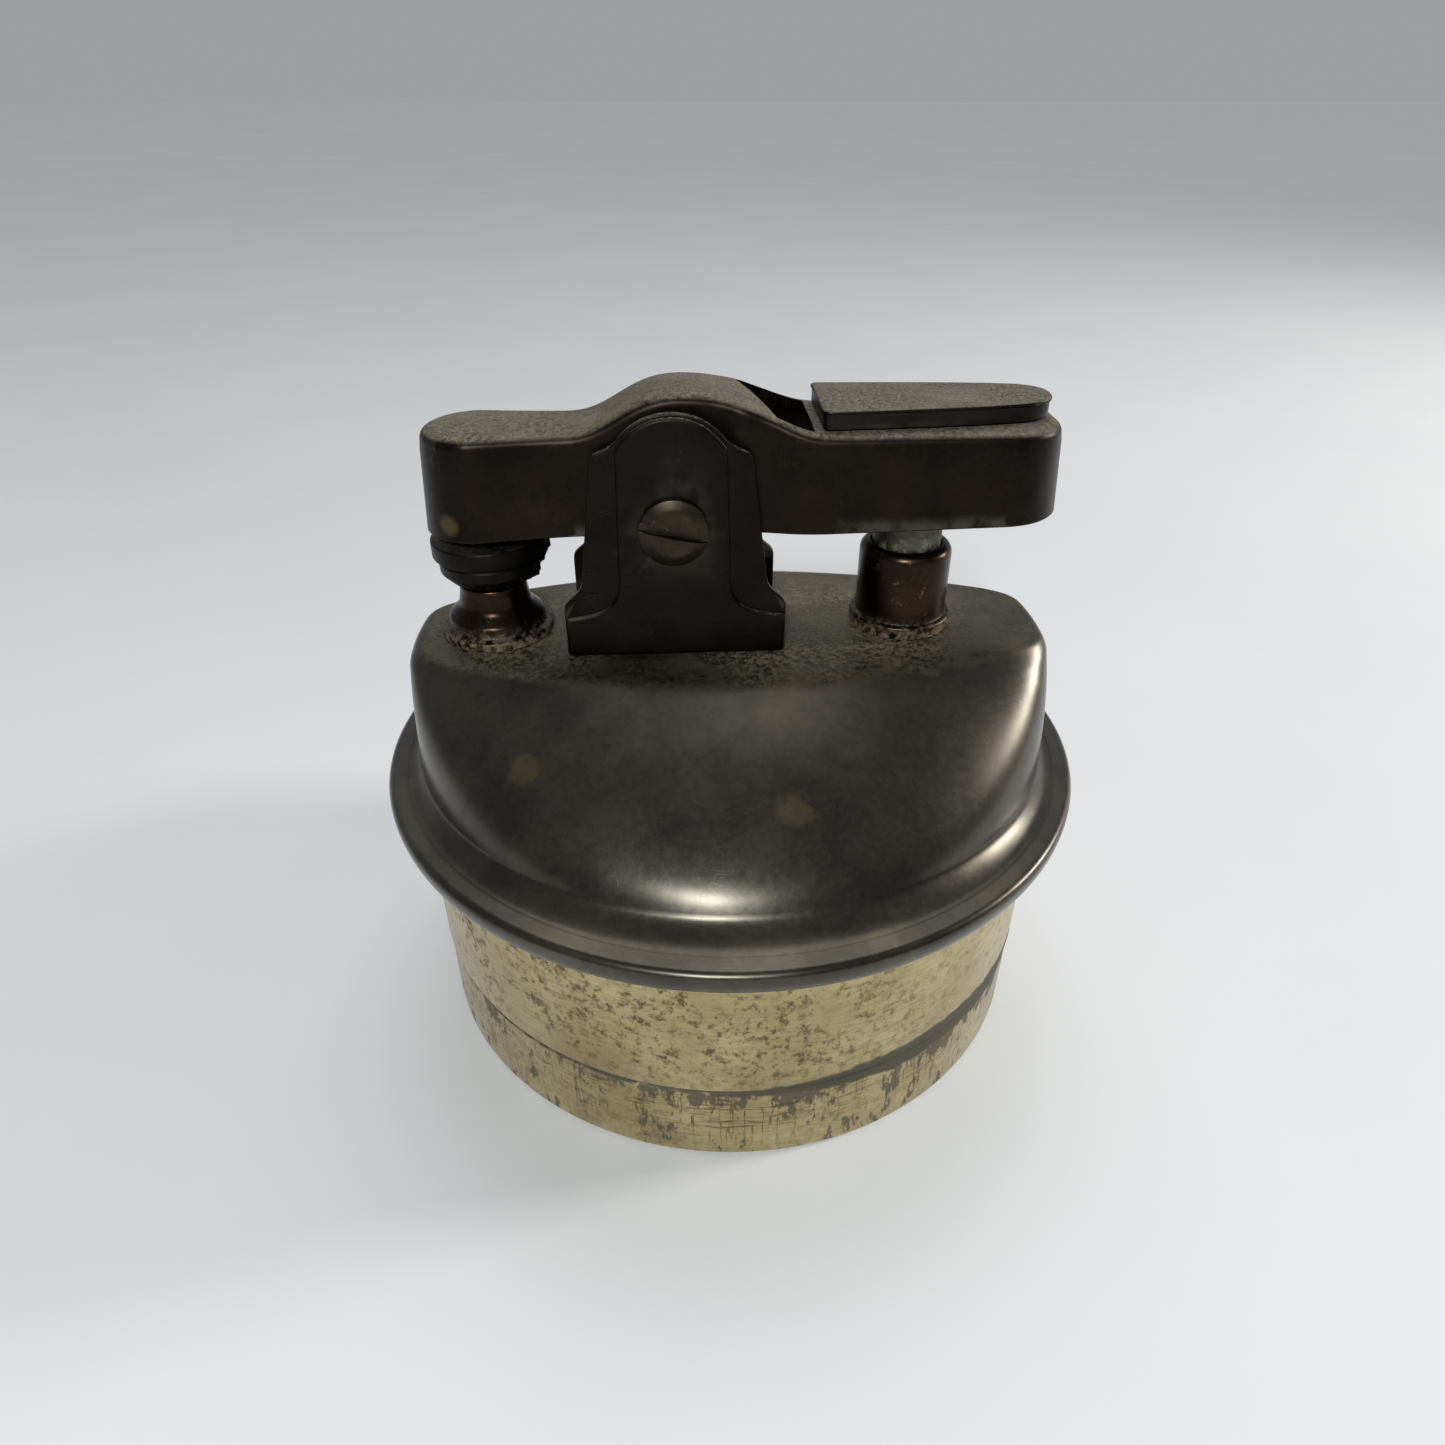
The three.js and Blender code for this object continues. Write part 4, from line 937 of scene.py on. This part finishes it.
def pivot_bracket():
    base_top = BRACKET_FOOT_Z + 0.8
    parts = []
    for side in (-1, 1):
        inner, outer = side * PLATE_INNER_Y, side * PLATE_OUTER_Y
        plate = prism("plate", plate_outline(), min(inner, outer), max(inner, outer), "y")
        parts.append(bevelled(plate, 0.13, 3))
        near, far = side * (PLATE_OUTER_Y - SHEET / 2), side * (PLATE_OUTER_Y + PANEL_RAISE)
        panel = prism("panel", panel_outline(), min(near, far), max(near, far), "y")
        parts.append(bevelled(panel, 0.24, 4))
    edges = [(PIVOT_X - BRACKET_HALF, -PLATE_INNER_Y - 0.1), (PIVOT_X + BRACKET_HALF, -PLATE_INNER_Y - 0.1),
             (PIVOT_X + BRACKET_HALF, PLATE_INNER_Y + 0.1), (PIVOT_X - BRACKET_HALF, PLATE_INNER_Y + 0.1)]
    parts.append(prism("base", edges, BRACKET_FOOT_Z, base_top))
    bracket = parts[0]
    bracket.name = "bracket"
    combine(bracket, parts[1:], "UNION")
    axle_hole = cylinder(AXLE_R + 0.05, -10, 10, PIVOT_X, PIVOT_Z)
    holes = [axle_hole, cylinder(TUBE_R + FIT, BRACKET_FOOT_Z - 1, base_top + 1, PIVOT_X)]
    return combine(bracket, holes)


def pivot_screw():
    seat = PLATE_OUTER_Y + PANEL_RAISE + 0.05
    head_r = (SCREW_HIGH.x - SCREW_LOW.x) / 2
    head_top = -SCREW_LOW.y
    screw = lathe("pivot_screw_head", [
        (0, -seat, 0), (AXLE_R, -seat, 0.1), (AXLE_R, seat, 0), (head_r, seat, 0),
        (head_r, seat + 0.45, 0.15),
        (head_r - 0.75, head_top - 0.1, 1.2), (0, head_top, 0)], segments=96, sharp_degrees=30)
    tilt = math.radians(-12)
    half_slot = 0.27
    corners = [(-3, -half_slot), (3, -half_slot), (3, half_slot), (-3, half_slot)]
    slot = [(x * math.cos(tilt) - y * math.sin(tilt), x * math.sin(tilt) + y * math.cos(tilt))
            for x, y in corners]
    combine(screw, [prism("cutter", slot, head_top - 0.55, head_top + 1)])
    bevelled(screw, 0.05, 2, 50)
    return lay_along_y(screw, PIVOT_X, PIVOT_Z)


# ---------------------------------------------------------------- posts
def wick_tube():
    bore, mouth_r, seat_r = 1.1, 1.5, 2.55
    base = PLATEAU_Z + 0.1
    seat = WICK_HIGH.z - 1.5
    return lathe("wick_post", [
        (bore, WICK_LOW.z, 0), (WICK_TAIL_R, WICK_LOW.z, 0), (WICK_TAIL_R, base, 0), (4.25, base, 0),
        (4.25, base + 0.55, 0.25), (3.75, base + 0.75, 0.15), (3.6, base + 1.5, 0.6),
        (2.75, base + 2.3, 1.0), (seat_r, base + 3.5, 0.8),
        (seat_r, seat, 0.2), (mouth_r, seat, 0.1), (mouth_r, WICK_HIGH.z, 0.12), (bore, WICK_HIGH.z, 0.08)],
        WICK_X, 96)


def snuffer_cap():
    """The cap's two steps, with soot caked on its right side."""
    low, shoulder = CAP_LOW.z, CAP_HIGH.z - 5.4
    stem = 0.9
    cap = lathe("snuffer", [
        (0, 39.6, 0), (2.6, 39.6, 0.2), (2.6, low, 0.1), (3.05, low, 0.15), (3.75, low + 0.75, 0.3),
        (3.75, low + 1.5, 0.12), (3.6, low + 1.7, 0.08), (4.15, low + 1.95, 0.12), (4.15, low + 3.2, 0.25),
        (3.6, shoulder, 0.3), (2.2, shoulder + 0.2, 0), (2.2, shoulder + 0.7, 0), (stem, shoulder + 0.7, 0),
        (stem, CAP_HIGH.z, 0.2), (0, CAP_HIGH.z, 0)], WICK_X, 144)
    for vertex in cap.data.vertices:
        place = vertex.co / MM
        out = Vector((place.x - WICK_X, place.y, 0))
        if out.length < 3 or place.z > shoulder:
            continue
        right = max(0, out.normalized().x - 0.75) / 0.25
        crust = noise.fractal(place * 1.3, 0.8, 2.2, 4) + 0.35
        vertex.co += out.normalized() * max(0, crust) * right * 0.6 * MM
    return cap


def plunger_collar():
    bore, wall_r = 2.68, 3.5
    base = PLATEAU_Z + 0.1
    return lathe("collar", [
        (0, COLLAR_LOW.z, 0), (WELL_R, COLLAR_LOW.z, 0.3), (WELL_R, base, 0), (3.95, base, 0),
        (3.95, base + 0.9, 0.25), (wall_r, base + 0.95, 0.1), (wall_r, COLLAR_HIGH.z, 0.75),
        (bore, COLLAR_HIGH.z, 0.15), (bore, COLLAR_LOW.z + 0.5, 0.2), (0, COLLAR_LOW.z + 0.5, 0)],
        PLUNGER_X, 128)


def plunger_rod():
    """The rod under the arm's roof; its domed crown clears the roof when the arm tilts."""
    radius = (ROD_HIGH.x - ROD_LOW.x) / 2
    rise = 1.9
    crown = [(radius * math.cos(math.radians(a)), ROD_HIGH.z - rise * (1 - math.sin(math.radians(a))), 0)
             for a in steps(0, 84, 12)]
    return lathe("plunger_post", [(0, ROD_LOW.z, 0), (radius, ROD_LOW.z, 0.2), *crown, (0, ROD_HIGH.z, 0)],
                 PLUNGER_X, 64)


# ---------------------------------------------------------------- the assembly
MATERIALS = {
    "aged_bronze": dome_bronze(),
    "polished_brass": polished_brass(),
    "inner_brass": inner_metal("inner_brass", (0.42, 0.31, 0.13), (0.60, 0.47, 0.22), 0.4),
    "dark_bronze": bracket_bronze(),
    "arm_bronze": arm_bronze(),
    "sooty_bronze": soot_bronze(),
    "copper_bronze": worn_copper(),
    "steel": inner_metal("steel", (0.30, 0.29, 0.27), (0.42, 0.41, 0.38), 0.4),
    "hard_steel": inner_metal("hard_steel", (0.16, 0.15, 0.14), (0.27, 0.26, 0.24), 0.45),
    "spring_steel": inner_metal("spring_steel", (0.32, 0.31, 0.29), (0.45, 0.44, 0.41), 0.35),
    "dusty_steel": dusty_steel(),
    "flint_stone": fibrous("flint_stone", (0.06, 0.06, 0.055), (0.12, 0.115, 0.11), 0.3),
    "cotton_wadding": fibrous("cotton_wadding", (0.50, 0.44, 0.34), (0.74, 0.68, 0.56), 0.8),
    "charred_wick": fibrous("charred_wick", (0.012, 0.010, 0.008), (0.045, 0.038, 0.03), 0.3),
    "fibre": fibrous("fibre", (0.16, 0.045, 0.025), (0.30, 0.10, 0.06), 0.5),
}
PAD_MATERIAL = pad_bronze()
SCREW_MATERIAL = screw_bronze()
NODE_SLOT = {part["node"]: part["material_slot"] for part in frame["record"]["subparts"]}
BODY_OF = {node: body for body, nodes in frame["record"]["behaviour"]["bodies"].items() for node in nodes}


def stand_in(piece, node, material=None):
    slot = NODE_SLOT[node]
    finished(piece, BODY_OF[node], node, material or MATERIALS[slot])


for name, node in frame["nodes"].items():
    node.data.materials.clear()
    node.data.materials.append(MATERIALS[NODE_SLOT[name]])

stand_in(dome_shell(), "dome_shell")
stand_in(tank_cup(), "tank_cup")
stand_in(pivot_bracket(), "pivot_bracket")
stand_in(pivot_screw(), "pivot_screw", SCREW_MATERIAL)
stand_in(wick_tube(), "wick_tube")
stand_in(snuffer_cap(), "snuffer_cap")
stand_in(plunger_collar(), "plunger_collar")
stand_in(plunger_rod(), "plunger_rod")
stand_in(thumb_pad(), "thumb_pad", PAD_MATERIAL)
arm, arm_cutters = rocker_arm(MATERIALS["arm_bronze"])
arm.data.materials.append(MATERIALS["arm_bronze"])
combine(arm, arm_cutters, sharp_degrees=30)
stand_in(arm, "rocker_arm")


# ---------------------------------------------------------------- floor, light and camera
def floor():
    look = Look("pale_table", 0.0, 0.9)
    clouds = look.between(look.noise(60, detail=4), 0.35, 0.65)
    look.colour = look.mix(clouds, (0.77, 0.77, 0.77), (0.79, 0.79, 0.785))
    look.rough = look.blend(look.noise(20), 0.85, 0.95)
    look.shader.inputs["Specular IOR Level"].default_value = 0.1
    look.height = look.noise(2)
    look.dirt = None
    material = done(look, 0.05, 0.05)
    size = 3000
    corners = [(-size, -size, 0), (size, -size, 0), (size, size, 0), (-size, size, 0)]
    table = new_object("table", corners, [(0, 1, 2, 3)])
    table.data.materials.append(material)


def area_light(name, place, target, size, watts, colour=(1, 1, 1)):
    """A soft square lamp, in millimetres, turned to a target and not seen by the camera."""
    data = bpy.data.lights.new(name, "AREA")
    data.size = size * MM
    data.energy = watts
    data.color = colour
    lamp = bpy.data.objects.new(name, data)
    lamp.location = Vector(place) * MM
    lamp.rotation_euler = (Vector(target) - Vector(place)).to_track_quat("-Z", "Y").to_euler()
    lamp.visible_camera = False
    bpy.context.scene.collection.objects.link(lamp)


def ceiling_light():
    """Soft light from above and behind, the same all over the table."""
    data = bpy.data.lights.new("ceiling", "SUN")
    data.energy = 0.85
    data.angle = math.radians(40)
    data.color = (0.96, 0.98, 1.0)
    lamp = bpy.data.objects.new("ceiling", data)
    lamp.rotation_euler = Vector((0.05, 0.5, 0.86)).to_track_quat("Z", "Y").to_euler()
    bpy.context.scene.collection.objects.link(lamp)


def room_light():
    """Soft light from all round: brighter above and behind, darker towards the viewer's side."""
    world = bpy.data.worlds.new("room")
    bpy.context.scene.world = world
    world.use_nodes = True
    tree = world.node_tree
    background = tree.nodes["Background"]
    direction = tree.nodes.new("ShaderNodeTexCoord").outputs["Generated"]
    split = tree.nodes.new("ShaderNodeSeparateXYZ")
    tree.links.new(direction, split.inputs[0])
    ramp = tree.nodes.new("ShaderNodeMapRange")
    ramp.inputs["From Min"].default_value = -0.6
    ramp.inputs["From Max"].default_value = 0.7
    ramp.inputs["To Min"].default_value = 0.12
    ramp.inputs["To Max"].default_value = 0.36
    tree.links.new(split.outputs["Y"], ramp.inputs["Value"])
    tree.links.new(ramp.outputs[0], background.inputs["Strength"])
    background.inputs["Color"].default_value = (0.93, 0.95, 1.0, 1)


def camera():
    """A wide lens close in front, looking down."""
    data = bpy.data.cameras.new("camera")
    data.sensor_width = 36
    data.sensor_fit = "HORIZONTAL"
    data.lens = 24.91
    data.clip_start = 0.005
    made = bpy.data.objects.new("camera", data)
    made.location = Vector((-4.32, -70.97, 68.8)) * MM
    made.rotation_euler = (math.radians(56.92), 0, math.radians(-3.0))
    bpy.context.scene.collection.objects.link(made)
    bpy.context.scene.camera = made


floor()
room_light()
MIDDLE = (0, 0, PLATEAU_Z)
area_light("front_window", (-62, -350, 280), MIDDLE, 60, 1.25, (0.90, 0.96, 1.0))
area_light("right", (420, 60, 190), MIDDLE, 80, 1.0, (1.0, 0.98, 0.95))
ceiling_light()
bpy.context.scene.view_settings.view_transform = "Standard"
camera()
